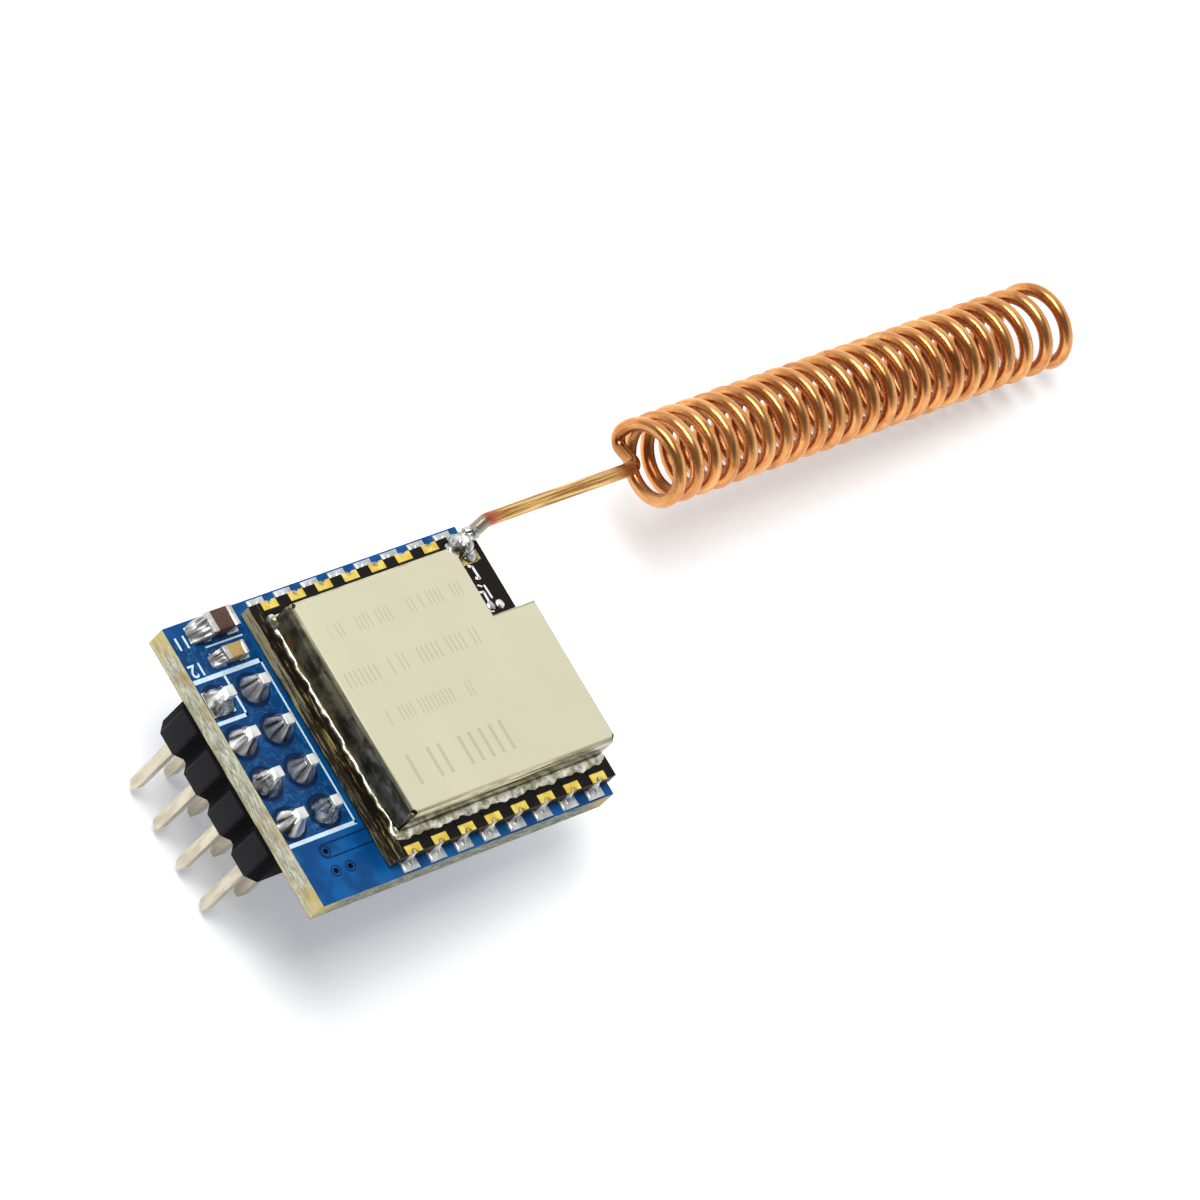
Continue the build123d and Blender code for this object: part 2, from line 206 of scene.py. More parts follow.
# %% [markdown]
# A finish starts from one shader for plastics and metals alike. Its patterns could follow a
# flattened map of each piece, but such a map is cut at every edge, and the stains here run
# over edges. So most are drawn in space, on Object coordinates turned into millimetres.


# %% A finish and its patterns
class Finish(Nodes):
    """One material while it is made: its shader, its nodes and the place in millimetres."""

    def __init__(self, name, **shader_values):
        self.material = bpy.data.materials.new(name)
        self.material.use_nodes = True
        super().__init__(self.material.node_tree)
        self.shader = self.tree.nodes["Principled BSDF"]
        for socket, value in shader_values.items():
            self.shader.inputs[socket.replace("_", " ")].default_value = value
        coordinates = self.node("ShaderNodeTexCoord", output="Object")
        self.place = self.node(
            "ShaderNodeVectorMath", {"operation": "SCALE"}, {0: coordinates, "Scale": 1 / MM},
        )
        self.x, self.y, self.z = self.parts(self.place)

    def stretched(self, factors, vector=None):
        """A place with each axis multiplied, so that a pattern is drawn out along an axis."""
        inputs = {0: vector or self.place, 1: factors}
        return self.node("ShaderNodeVectorMath", {"operation": "MULTIPLY"}, inputs)

    def noise(self, scale, detail=3.0, roughness=0.55, vector=None):
        """Cloudy noise from 0 to 1; scale is in clouds per millimetre."""
        inputs = {"Vector": vector or self.place, "Scale": scale, "Detail": detail, "Roughness": roughness}
        return self.node("ShaderNodeTexNoise", None, inputs)

    def ring(self, place, radius, width, soft=0.04):
        """1 on a circle's line round a place on the board."""
        x, y = (float(value) for value in place)
        off_line = abs(self.reach(self.x - x, self.y - y) - radius)
        return 1 - self.smooth(off_line, width / 2 - soft, width / 2 + soft)

    def near(self, point, inner, outer):
        """1 closer than inner to a point in space, 0 beyond outer."""
        inputs = {0: self.place, 1: point}
        gap = self.node("ShaderNodeVectorMath", {"operation": "DISTANCE"}, inputs, "Value")
        return 1 - self.smooth(gap, inner, outer)

    def bump(self, height):
        """A height in millimetres turned into a slope on the surface."""
        inputs = {"Height": height, "Strength": 1.0, "Distance": MM}
        self.feed("Normal", self.node("ShaderNodeBump", None, inputs))

    def feed(self, socket, value):
        """Link a value to one of the shader's sockets."""
        self.tree.links.new(value.socket, self.shader.inputs[socket])

    def dress(self, colour, roughness, height):
        """Feed colour, roughness and relief, and hand over the finished material."""
        self.feed("Base Color", colour)
        self.feed("Roughness", roughness)
        self.bump(height)
        return self.material


print("finishes can be made")


# %% Colours
def paint(red, green, blue):
    """A colour as seen on a screen, from 0 to 255, made the linear one that a shader reads."""
    seen = np.array([red, green, blue]) / 255
    linear = np.where(seen <= 0.04045, seen / 12.92, ((seen + 0.055) / 1.055) ** 2.4)
    return (*linear.tolist(), 1.0)


print("a middle grey of 128 is", round(paint(128, 128, 128)[0], 3), "to the shader")

# %% [markdown]
# The module lies as it would on a table: on the tips of its pins and on the far end of the
# coil, so the floor leans a little against the board. It could be turned together with the
# object, but the CAD frame stays level, so the floor leans instead. It is white to the camera
# and keeps the shadow, and from below it cannot be seen, so that low views look through it.

# %% Floor
floor_gap = 0.05
far_row_x = span("header_pin_2")[1][0]
floor_slope = (coil_low[2] - pin_low[2]) / (coil_high[0] - far_row_x)
floor_size = 3000.0
floor_light = 0.24
floor_near, floor_far = 80.0, 200.0
floor_colour = 0.9
glow_colour = (0.97, 0.985, 1.0, 1.0)


def lean_floor():
    """A large square that touches the lower pin tips and the coil's far end."""
    corners = np.array([[-1, -1], [1, -1], [1, 1], [-1, 1]]) * floor_size / 2
    heights = pin_low[2] - floor_gap + floor_slope * (corners[:, 0] - far_row_x)
    mesh = bpy.data.meshes.new("floor")
    mesh.from_pydata((np.column_stack([corners, heights]) * MM).tolist(), [], [(0, 1, 2, 3)])
    return add_object("floor", mesh)


def floor_material():
    """Matt paper that glows a little for camera and mirrors; white far off, clear from below."""
    material = bpy.data.materials.new("white_floor")
    material.use_nodes = True
    nodes = Nodes(material.node_tree)
    nodes.tree.nodes.remove(nodes.tree.nodes["Principled BSDF"])
    seen = nodes.node("ShaderNodeLightPath", output="Is Camera Ray")
    mirrored = nodes.node("ShaderNodeLightPath", output="Is Glossy Ray")
    paper = (floor_colour, floor_colour, floor_colour, 1.0)
    matt = nodes.node("ShaderNodeBsdfDiffuse", None, {"Color": paper})
    place = nodes.node("ShaderNodeTexCoord", output="Object")
    distance = nodes.node("ShaderNodeVectorMath", {"operation": "LENGTH"}, {0: place}, "Value")
    strength = floor_light + nodes.smooth(distance, floor_near * MM, floor_far * MM) * seen
    glow = nodes.node("ShaderNodeEmission", None, {"Color": glow_colour, "Strength": strength})
    bright = nodes.node("ShaderNodeAddShader", None, {0: matt, 1: glow})
    watched = nodes.highest([seen, mirrored])
    lit = nodes.node("ShaderNodeMixShader", None, {0: watched, 1: matt, 2: bright})
    clear = nodes.node("ShaderNodeBsdfTransparent")
    below = nodes.node("ShaderNodeNewGeometry", output="Backfacing")
    shown = nodes.node("ShaderNodeMixShader", None, {0: below, 1: lit, 2: clear})
    nodes.tree.links.new(shown.socket, nodes.tree.nodes["Material Output"].inputs["Surface"])
    return material


floor = lean_floor()
floor.data.materials.append(floor_material())
print("floor slope", round(float(floor_slope), 4))

# %% [markdown]
# A product photograph of bright metal needs something dark to mirror, or the metal turns
# into grey paste. The room is white below and beyond the object and grey behind the camera.
# A picture of a studio could light it too, but two soft lamps are plainer to steer: a large one
# above the picture's upper edge and a smaller one nearer to the camera. The shadow then falls
# from under the board towards the picture's lower edge.

# %% Room and lamps
room_back = 0.16
room_front = 1.0
room_turn = (0.0, 0.78)


def make_room():
    """White all round for the camera; for light and mirrors it darkens towards the camera's side."""
    world = bpy.data.worlds.new("studio")
    bpy.context.scene.world = world
    world.use_nodes = True
    room = Nodes(world.node_tree)
    facing = {0: room.node("ShaderNodeTexCoord", output="Generated"), 1: towards.tolist()}
    along = room.node("ShaderNodeVectorMath", {"operation": "DOT_PRODUCT"}, facing, "Value")
    level = room_front + (room_back - room_front) * room.smooth(along, *room_turn)
    camera_ray = room.node("ShaderNodeLightPath", output="Is Camera Ray")
    background = room.tree.nodes["Background"]
    background.inputs["Color"].default_value = (1.0, 1.0, 1.0, 1.0)
    room.tree.links.new((level + camera_ray * (1 - level)).socket, background.inputs["Strength"])


def lamp(name, offset, size, power):
    """A square soft lamp; its offset from the aim is right, up and towards the camera."""
    light = bpy.data.lights.new(name, "AREA")
    light.shape = "SQUARE"
    light.size = size * MM
    light.energy = power
    place = view_aim + offset[0] * view_right + offset[1] * view_up + offset[2] * towards
    item = add_object(name, light)
    item.location = Vector(place * MM)
    item.rotation_euler = Vector((view_aim - place).tolist()).to_track_quat("-Z", "Y").to_euler()


make_room()
lamp("key_lamp", (10, 440, 430), 300, 1.6)
lamp("front_lamp", (60, 200, 430), 200, 1.05)
print("room and", len(bpy.data.lights), "lamps")

# %% [markdown]
# Every new piece is a grid of points worked out at once by numpy. Modelling by hand would
# look as good, but a formula keeps the piece tied to the sizes of the CAD model. One helper
# joins a grid's neighbours into faces, and one closes the two ends of a tube of rings.


# %% Grids, tubes and boxes
def grid_points(*coordinates):
    """Coordinates that depend on the row, the column or both, spread over the grid and stacked."""
    return np.stack(np.broadcast_arrays(*coordinates), axis=-1)


def grid_faces(rows, columns, loop=False):
    """Quads between neighbours; a row is a closed ring, and loop joins the last row to the first."""
    row = np.arange(rows if loop else rows - 1)[:, None]
    column = np.arange(columns)[None, :]
    after = (column + 1) % columns
    here = row * columns
    above = (row + 1) % rows * columns
    quads = np.stack([here + column, here + after, above + after, above + column], axis=-1)
    return quads.reshape(-1, 4).tolist()


def closed_rings(rings):
    """A tube of rings (rows, columns, 3) as points and faces, each end closed on a middle point."""
    rows, columns, _ = rings.shape
    middles = np.stack([rings[0].mean(axis=0), rings[-1].mean(axis=0)])
    points = np.concatenate([rings.reshape(-1, 3), middles])
    column = np.arange(columns)
    after = (column + 1) % columns
    first = rows * columns
    last = (rows - 1) * columns
    start = np.stack([np.full(columns, first), after, column], axis=-1)
    end = np.stack([np.full(columns, first + 1), last + column, last + after], axis=-1)
    return points, grid_faces(rows, columns) + start.tolist() + end.tolist()


def join_shapes(shapes):
    """Several (points, faces) as one."""
    points = []
    faces = []
    count = 0
    for shape_points, shape_faces in shapes:
        points.append(shape_points)
        faces += [[count + corner for corner in face] for face in shape_faces]
        count += len(shape_points)
    return np.concatenate(points), faces


def box_shape(low, high):
    """A plain box between two corners."""
    low = np.asarray(low, float)
    high = np.asarray(high, float)
    square = np.array([[0, 0], [1, 0], [1, 1], [0, 1]])
    corner = np.column_stack([np.tile(square, (2, 1)), np.repeat([0, 1], 4)])
    faces = [[0, 3, 2, 1], [4, 5, 6, 7], [0, 1, 5, 4], [1, 2, 6, 5], [2, 3, 7, 6], [3, 0, 4, 7]]
    return low + corner * (high - low), faces


print("a box has", len(box_shape((0, 0, 0), (1, 1, 1))[1]), "faces")

# %% [markdown]
# A finished piece hangs on an empty named for the CAD body, and the CAD nodes that it stands
# for are hidden. Pieces that only need softer edges are copies of the CAD's own meshes:
# those are loose triangles, so their corners are merged before the edges are bevelled.


# %% Pieces from grids
def make_piece(name, shape, material, replaced=(), wrap=None, smooth_angle=50):
    """An object from points in millimetres and faces; wrap is a UV place for each point."""
    points, faces = shape
    mesh = bpy.data.meshes.new(name)
    mesh.from_pydata((points * MM).tolist(), [], faces)
    mesh.materials.append(material)
    if wrap is not None:
        corner_points = np.zeros(len(mesh.loops), np.int32)
        mesh.loops.foreach_get("vertex_index", corner_points)
        layer = mesh.uv_layers.new(name="wrap")
        layer.data.foreach_set("uv", wrap[corner_points].astype(np.float32).ravel())
    mesh.shade_smooth()
    mesh.set_sharp_from_angle(angle=radians(smooth_angle))
    piece = add_object(name, mesh)
    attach(piece, "root")
    if replaced:
        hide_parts(*replaced)


print("grids can become pieces")

# %% Dressed copies
weld_distance = 0.001
bevel_from = radians(35)
bevel_segments = 2
crease_from = radians(40)


def dressed_copy(node, material, bevel=0.0):
    """A copy of a CAD node: corners merged, edges rounded a little, curves smooth."""
    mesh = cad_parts[node].data.copy()
    mesh.materials.clear()
    mesh.materials.append(material)
    piece = add_object(node + "_dressed", mesh)
    weld = piece.modifiers.new("weld", "WELD")
    weld.merge_threshold = weld_distance * MM
    if bevel:
        edge = piece.modifiers.new("edge", "BEVEL")
        edge.width = bevel * MM
        edge.segments = bevel_segments
        edge.limit_method = "ANGLE"
        edge.angle_limit = bevel_from
    finished = piece.evaluated_get(bpy.context.evaluated_depsgraph_get())
    dressed = bpy.data.meshes.new_from_object(finished)
    piece.modifiers.clear()
    piece.data = dressed
    dressed.shade_smooth()
    dressed.set_sharp_from_angle(angle=crease_from)
    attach(piece, "root")
    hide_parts(node)


print("copies are welded at", weld_distance, "mm")

# %% [markdown]
# The adaptor board is glass fibre and resin pressed flat, with bare cut sides. A cut side
# shows the ends of the fibre bundles as grey flecks drawn out along it, yellower near the
# faces and at the corners, and browned where flux ran down. The front side is darker grey,
# partly its own mottle and partly painted shade. Noise that is stretched along the board
# gives the flecks, and three colours are laid over it by height and place.

# %% Cut sides of the blue board
yellow_corners = [
    (board_low[0], board_high[1]), (board_high[0], board_low[1]), (board_low[0], board_low[1]),
]
yellow_reach = (0.5, 2.2)
rim_depth = 0.22


def fibre_side(finish, low, high):
    """Flecks from stretched noise, then the rim, the stains, dark specks, painted shade on
    the front side (partly its own mottle) and yellow corners.
    """
    flecks = finish.noise(2.0, 4.0, 0.7, finish.stretched((0.7, 0.7, 4.0)))
    stains = finish.noise(0.6, 2.0)
    side = finish.blend(finish.smooth(flecks, 0.38, 0.64), paint(164, 162, 138), paint(238, 238, 218))
    rim = 1 - finish.within(finish.z, low + rim_depth, high - rim_depth, 0.16)
    side = finish.blend(rim * 0.6, side, paint(228, 218, 160))
    side = finish.blend(finish.smooth(stains + 0.3 * flecks, 0.7, 0.86) * 0.7, side, paint(188, 150, 84))
    specks = finish.noise(3.4, 3.0, 0.6, finish.stretched((1.0, 1.0, 2.4)))
    side = finish.blend(finish.smooth(specks, 0.6, 0.68) * 0.45, side, paint(62, 62, 50))
    # the front side: a dark grey mottle, partly its own and partly painted shade
    front = 1 - finish.smooth(finish.y, board_low[1] + 0.02, board_low[1] + 0.1)
    shade = front * finish.smooth(flecks, 0.74, 0.44)
    side = finish.blend(shade * 0.8, side, paint(96, 106, 98))
    for x, y in yellow_corners:
        side = finish.blend(finish.near((x, y, high), *yellow_reach) * 0.75, side, paint(226, 206, 130))
    return side, flecks


print("board thickness", (board_high[2] - board_low[2]).round(2), "mm, three yellow corners")

# %% [markdown]
# Both faces carry glossy blue lacquer. Under it the copper shows as lighter fields, with a
# dark gap round each pad and each side of a track; round the header pads that gap is widened
# and darkened as painted shade at the solder's foot. Round the header the lacquer is worn, and
# darker with painted shade round the joints. A picture could hold all this, but fields and
# rings worked out from the pins' own places stay sharp at any distance and move with the pins.

# %% Pads, small holes and gaps in the copper
header_places = []
for number in range(1, 9):
    pin_corners = span(f"header_pin_{number}")
    header_places.append((pin_corners[0] + pin_corners[1])[:2] / 2)
# the dark ring round each header pad: a gap in the copper, widened and darkened as painted shade at the
# solder's foot
gap_radius = 0.95
gap_width = 0.24
via_offsets = ((1.97, 1.58), (3.0, 1.55), (2.02, 2.76))
via_places = [board_low[:2] + offset for offset in via_offsets]
via_ring = 0.3
via_line = 0.08
track_half = 0.4


def copper_gaps_and_foot_shade(finish):
    """Dark rings round pads and small holes, and the line on both sides of one track; round the
    header pads the ring is partly painted shade at the solder's foot.
    """
    circles = [(place, gap_radius, gap_width) for place in header_places]
    circles += [(place, via_ring, via_line) for place in via_places]
    x, y = (float(value) for value in via_places[-1])
    past = (x - finish.x).math("MAXIMUM", 0.0)
    around = finish.reach(past, finish.y - y)
    track = 1 - finish.smooth(abs(around - track_half), 0.02, 0.07)
    return finish.highest([finish.ring(*circle) for circle in circles] + [track])


print("rings round", len(header_places) + len(via_places), "holes")

# %% Blue lacquer
header_zone_y = (-4.9, 8.0)
header_zone_x = (2.6, 3.4)
bore_margin = 0.3


def blue_board():
    """Lacquer on the two faces, cut fibre on the sides, and painted shade on the walls inside the bores.
    """
    finish = Finish("blue_board", Specular_IOR_Level=0.12)
    top = finish.smooth(finish.z, board_high[2] - 0.04, board_high[2] - 0.01)
    bottom = 1 - finish.smooth(finish.z, board_low[2] + 0.01, board_low[2] + 0.04)
    lacquer = (top + bottom).math("MINIMUM", 1.0)
    clouds = finish.noise(0.5, 2.0)
    fine = finish.noise(2.4, 4.0, 0.6)
    blue = finish.blend(finish.smooth(clouds, 0.38, 0.62), paint(4, 66, 122), paint(8, 88, 152))
    wisps = 1 - finish.smooth(abs(finish.noise(1.2, 3.0) - 0.5), 0.006, 0.03)
    header_wear_and_shade = finish.within(finish.y, *header_zone_y, 0.5)
    header_wear_and_shade = header_wear_and_shade * (1 - finish.smooth(finish.x, *header_zone_x))
    # darker clouds round the header: painted shade round the joints; the lighter flecks below are wear
    blue = finish.blend(header_wear_and_shade * finish.smooth(clouds, 0.35, 0.55) * 0.75, blue, paint(3, 42, 86))
    worn = (0.45 * wisps + 0.55 * finish.smooth(fine, 0.56, 0.7)) * header_wear_and_shade
    blue = finish.blend(worn * 0.45, blue, paint(66, 136, 190))
    gaps_and_foot_shade = copper_gaps_and_foot_shade(finish)
    blue = finish.blend(gaps_and_foot_shade * 0.85, blue, paint(3, 22, 56))
    side, flecks = fibre_side(finish, board_low[2], board_high[2])
    # the walls inside the bores: painted shade
    bore_shade = finish.within(finish.x, board_low[0] + bore_margin, board_high[0] - bore_margin)
    bore_shade = bore_shade * finish.within(finish.y, board_low[1] + bore_margin, board_high[1] - bore_margin)
    side = finish.blend(bore_shade, side, paint(40, 44, 56))
    roughness = 0.62 - 0.42 * lacquer + 0.1 * fine
    height = finish.noise(0.9, 3.0) * 0.02 * lacquer + gaps_and_foot_shade * lacquer * -0.02 + worn * 0.006
    height = height + flecks * 0.06 * (1 - lacquer)
    return finish.dress(finish.blend(lacquer, side, blue), roughness, height)


def paint_nodes(names, material):
    """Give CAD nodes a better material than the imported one."""
    for name in names:
        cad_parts[name].material_slots[0].material = material


paint_nodes(["carrier_board"], blue_board())
print("blue board painted", len(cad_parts["carrier_board"].data.polygons), "faces")

# %% [markdown]
# The module's own board is black, and its cut sides are the same glass fibre stained brown
# by the flux of the hand soldering; all but the one towards the header are darkened further
# as painted shade. The strip outside the can's long wall shows the stain best: dark, with pale
# streaks along it where the stain is thin. The streaks are one stretched noise, used with two
# thresholds, so that those on the top run over the edge into those of the side.

# %% Black module board
strip_edge = (0.32, 0.12)
paler_towards = (-2.0, 8.0)


def black_board():
    """Black lacquer on top, a stained strip by the can, and brown fibre on the cut sides,
    painted darker as shade on all but the one towards the header.
    """
    finish = Finish("black_board", Specular_IOR_Level=0.12)
    top = finish.smooth(finish.z, module_high[2] - 0.05, module_high[2] - 0.02)
    strip = 1 - finish.smooth(finish.x, can_low[0] - strip_edge[0], can_low[0] - strip_edge[1])
    streaks = finish.noise(1.3, 5.0, 0.7, finish.stretched((5.0, 0.45, 5.0)))
    far = finish.smooth(finish.y, *paler_towards)
    pale = finish.smooth(streaks + 0.16 * far, 0.5, 0.68)
    side = finish.blend(pale, paint(62, 50, 30), paint(196, 184, 142))
    # every cut face but the one towards the header is painted dark brown as shade
    long_side = 1 - finish.smooth(finish.x, module_low[0] + 0.02, module_low[0] + 0.1)
    side = finish.blend(long_side, paint(46, 38, 26), side)
    thin = finish.smooth(streaks - 0.08 * far, 0.52, 0.64)
    stained = finish.blend(thin, paint(20, 15, 9), paint(158, 136, 78))
    lacquer = finish.blend(finish.noise(0.8), paint(10, 9, 9), paint(24, 20, 17))
    lacquer = finish.blend(strip * 0.9, lacquer, stained)
    height = streaks * 0.03 * (1 - top) + finish.noise(1.0) * 0.01
    return finish.dress(finish.blend(top, side, lacquer), 0.28 + 0.25 * finish.noise(2.0), height)


paint_nodes(["module_board"], black_board())
print("module board painted, strip", (can_low[0] - module_low[0]).round(2), "mm wide")

# %% [markdown]
# Metals differ in colour, in how sharp their mirror is and in how lumpy they are. Tin, gold
# and solder could each have a tree of nodes, but they share one recipe: two colours in clouds,
# a roughness and a height, so a small function makes them all.


# %% Bright metals
def bright_metal(name, light, dark, roughness, bumps, cloud=1.2):
    """A mottled metal: two colours in clouds, an uneven polish and a bumpy surface."""
    finish = Finish(name, Metallic=1.0)
    clouds = finish.noise(cloud, 4.0, 0.6)
    colour = finish.blend(finish.smooth(clouds, 0.36, 0.66), dark, light)
    polish = roughness + 0.18 * (finish.noise(cloud * 2.3) - 0.4)
    return finish.dress(colour, polish, finish.noise(cloud * 1.6, 3.0) * bumps)


seam_solder = bright_metal("seam_solder", paint(246, 246, 234), paint(150, 146, 112), 0.38, 0.035, 2.2)
rough_solder = bright_metal("rough_solder", paint(248, 248, 246), paint(96, 94, 92), 0.26, 0.06, 1.05)
strand_tin = bright_metal("strand_tin", paint(222, 224, 222), paint(184, 187, 186), 0.46, 0.012)
tin_end = bright_metal("tin_chip_end", paint(228, 226, 220), paint(182, 180, 174), 0.36, 0.03, 1.4)
tinned = bright_metal("tinned_pad", paint(242, 244, 242), paint(212, 214, 213), 0.4, 0.015)
pad_gold = bright_metal("pad_gold", paint(222, 196, 122), paint(168, 140, 82), 0.3, 0.03, 1.6)
paint_nodes(["carrier_pads", "radio_chip_leads"], tinned)
paint_nodes(["antenna_pad"], pad_gold)
print("six bright metals ready")

# %% [markdown]
# Three metals need more than clouds. Hand-made solder gets painted shade in its creases and
# painted highlights on its crests, read from the piece's own UV map. The edge contacts are gold
# only outside the lacquer that laps over them. The pins are champagne plating drawn out along
# them, and whiter where the solder has reached.

# %% Folded solder, gold contacts and pins
contact_bare = 0.5


def pleat_shaded_solder():
    """Solder that froze in folds, with painted shade in its creases and painted highlights on its
    crests: the UV map's first number is 1 on a crest and 0 in a crease.
    """
    finish = Finish("pleat_shaded_solder", Metallic=1.0)
    wrap = finish.node("ShaderNodeUVMap", {"uv_map": "wrap"})
    crest = finish.parts(wrap)[0] + 0.3 * (finish.noise(2.6, 3.0) - 0.5)
    # painted shade in the creases, painted highlight on the crests
    grey = finish.blend(finish.smooth(crest, 0.12, 0.5), paint(66, 64, 62), paint(198, 198, 196))
    colour = finish.blend(finish.smooth(crest, 0.5, 0.85), grey, paint(246, 246, 244))
    return finish.dress(colour, 0.26 + 0.14 * finish.noise(1.8), finish.noise(2.2, 3.0) * 0.012)


def gold_plate():
    """Gold on the bare outer part of each contact, black lacquer lapping over the rest."""
    finish = Finish("gold_contact", Roughness=0.3, Specular_IOR_Level=0.12)
    clouds = finish.noise(1.6, 4.0, 0.6)
    gilt = finish.blend(finish.smooth(clouds, 0.36, 0.66), paint(238, 200, 80), paint(255, 236, 128))
    lacquer_edge = module_high[1] - contact_bare
    bare = finish.smooth(abs(finish.y), lacquer_edge - 0.03, lacquer_edge + 0.02)
    finish.feed("Base Color", finish.blend(bare, paint(14, 12, 11), gilt))
    finish.feed("Metallic", bare)
    finish.bump(finish.noise(2.4, 3.0) * 0.02)
    return finish.material


def pin_metal():
    """Champagne plating with streaks along the pin, whiter where the solder has reached."""
    finish = Finish("pin_metal", Metallic=1.0)
    drawn = finish.noise(1.2, 3.0, 0.6, finish.stretched((2.2, 2.2, 0.5)))
    plated = finish.blend(finish.smooth(drawn, 0.35, 0.65), paint(196, 186, 164), paint(222, 213, 192))
    soldered = finish.smooth(finish.z, pads_top, pads_top + 0.3)
    colour = finish.blend(soldered, plated, paint(238, 238, 236))
    return finish.dress(colour, 0.26 + 0.2 * drawn, drawn * 0.012)


pleated = pleat_shaded_solder()
pin_plated = pin_metal()
paint_nodes(["edge_contacts"], gold_plate())
print("folded solder, gold and pin plating ready")

# %% [markdown]
# The header is two rows of square pins pressed through a black strip that snaps apart
# between its blocks. Moulded plastic is satin with a faint grain, and the grooves between the
# blocks stay nearly black, which is painted in, because little light that reaches them comes
# back. The edges of strip and pins are rounded a little so that they catch the light.

# %% Pin header
groove_from = 0.1


def black_plastic():
    """Satin grey black; darker and rougher away from the strip's two long outer faces."""
    finish = Finish("black_plastic", Specular_IOR_Level=0.04)
    grain = finish.noise(6.0, 3.0, 0.6)
    groove = finish.within(finish.x, header_low[0] + groove_from, header_high[0] - groove_from, 0.08)
    plastic = finish.blend(grain, paint(34, 33, 36), paint(46, 44, 48))
    colour = finish.blend(groove * 0.85, plastic, paint(10, 10, 11))
    return finish.dress(colour, 0.36 + 0.16 * finish.noise(1.2) + 0.3 * groove, grain * 0.012)


header_black = black_plastic()
dressed_copy("header_body", header_black, 0.06)
for number in range(1, 9):
    dressed_copy(f"header_pin_{number}", pin_plated, 0.04)
paint_nodes(["radio_chip", "antenna_switch"], header_black)
print("header strip and eight pins")

# %% [markdown]
# A hand-soldered pin stands in a little mountain: solder wets the pad, climbs the pin and
# freezes in folds that run from foot to top. Bump alone would leave the outline smooth, so the
# folds are real. The cone is a grid of angle and height whose radius swings between crests
# and creases at drawn angles. The first pad is square, so its foot is a rounded square.


# %% Folds
def pleats(angle, seed, count=12):
    """A pleated ring from -1 to 1: straight runs between crests and creases at drawn angles."""
    draw = np.random.default_rng(seed)
    turns = (np.arange(count) + draw.uniform(-0.32, 0.32, count)) * 2 * pi / count
    heights = draw.uniform(0.25, 1.0, count) * (-1.0) ** np.arange(count)
    return np.interp(angle, turns, heights, period=2 * pi)


print("folds swing from -1 in a crease to 1 on a crest")

# %% Solder round the pins
joint_columns = 120
joint_rows = 26
joint_foot = 0.82
joint_top = 0.36
joint_height = 1.1
joint_fold = 0.18
square_foot = 0.76
square_height = 0.95
square_power = 7.0
joint_crease = 24
rough_joints = (1, 5, 8)


def pin_joint(place, number):
    """Radius falls from foot to top along a hollow curve; the pleats are strongest half way up."""
    angle = np.linspace(0, 2 * pi, joint_columns, endpoint=False)[None, :]
    rise = np.linspace(0, 1, joint_rows)[:, None]
    foot = joint_foot
    height = joint_height
    if number == 1:
        powers = abs(np.cos(angle)) ** square_power + abs(np.sin(angle)) ** square_power
        foot = square_foot * powers ** (-1 / square_power)
        height = square_height
    folds = pleats(angle, number) * np.sin(pi * np.clip(rise * 0.9 + 0.06, 0, 1)) ** 0.8
    lean = 0.05 * np.cos(angle - number) * (1 - rise) * rise
    cone = joint_top + (foot - joint_top) * (1 - rise) ** 1.1
    radius = cone + joint_fold * folds * (1 - 0.5 * rise) + lean
    top = height * (1 + 0.08 * np.cos(angle + 2 * number) * rise)
    x = place[0] + radius * np.cos(angle)
    y = place[1] + radius * np.sin(angle)
    rings = grid_points(x, y, pads_top + top * rise)
    # the UV map carries the crests for the solder's painted highlight and shade
    wrap = grid_points(0.5 + 0.5 * pleats(angle, number), rise)
    wrap = np.concatenate([wrap.reshape(-1, 2), [[0.5, 0.0], [0.5, 1.0]]])
    metal = rough_solder if number in rough_joints else pleated
    stands_for = [f"header_solder_{number}"]
    make_piece(f"pin_joint_{number}", closed_rings(rings), metal, stands_for, wrap, joint_crease)


for number, place in enumerate(header_places, start=1):
    pin_joint(place, number)
print("eight solder joints of", joint_rows * joint_columns, "points")

# %% [markdown]
# The antenna is one length of copper wire, bent by hand and wound on a rod. Its line is worked
# out first: straight runs with round corners for the foot and the lead, then a helix whose
# last turns open up. A Screw modifier would make the coil, but not the hook that leads into
# it, so the whole wire is one line.


# %% Round corners
def unit(vectors):
    """Vectors of length one."""
    return vectors / np.linalg.norm(vectors, axis=-1, keepdims=True)


def rounded_corner(before, corner, after, radius, steps=14):
    """An arc that touches both runs of a corner: it starts radius * tan(half the turn) before it."""
    inward = unit(corner - before)
    outward = unit(after - corner)
    turn = np.arccos(np.clip(inward @ outward, -1, 1))
    sideways = unit(outward - (inward @ outward) * inward)
    start = corner - inward * radius * tan(turn / 2)
    angle = np.linspace(0, turn, steps)[:, None]
    return start + radius * (np.sin(angle) * inward + (1 - np.cos(angle)) * sideways)


square_corner = np.array([[0.0, 0.0, 0.0], [2.0, 0.0, 0.0], [2.0, 2.0, 0.0]])
print("a square corner's arc starts at", rounded_corner(*square_corner, 0.5)[0].round(2))

# %% The wire's line
coil_radius = 2.3
coil_pitch = 1.44
open_pitch = 1.74
close_turns = 20
all_turns = 22 + 225 / 360
samples_per_turn = 64
settle_along = 0.035
settle_radius = 0.015
lead_y = module_high[1] - 0.12
lead_z = module_high[2] + 0.96
lead_end = board_high[0] + 12.35
hook_out = 0.5
hook_angle = radians(25)


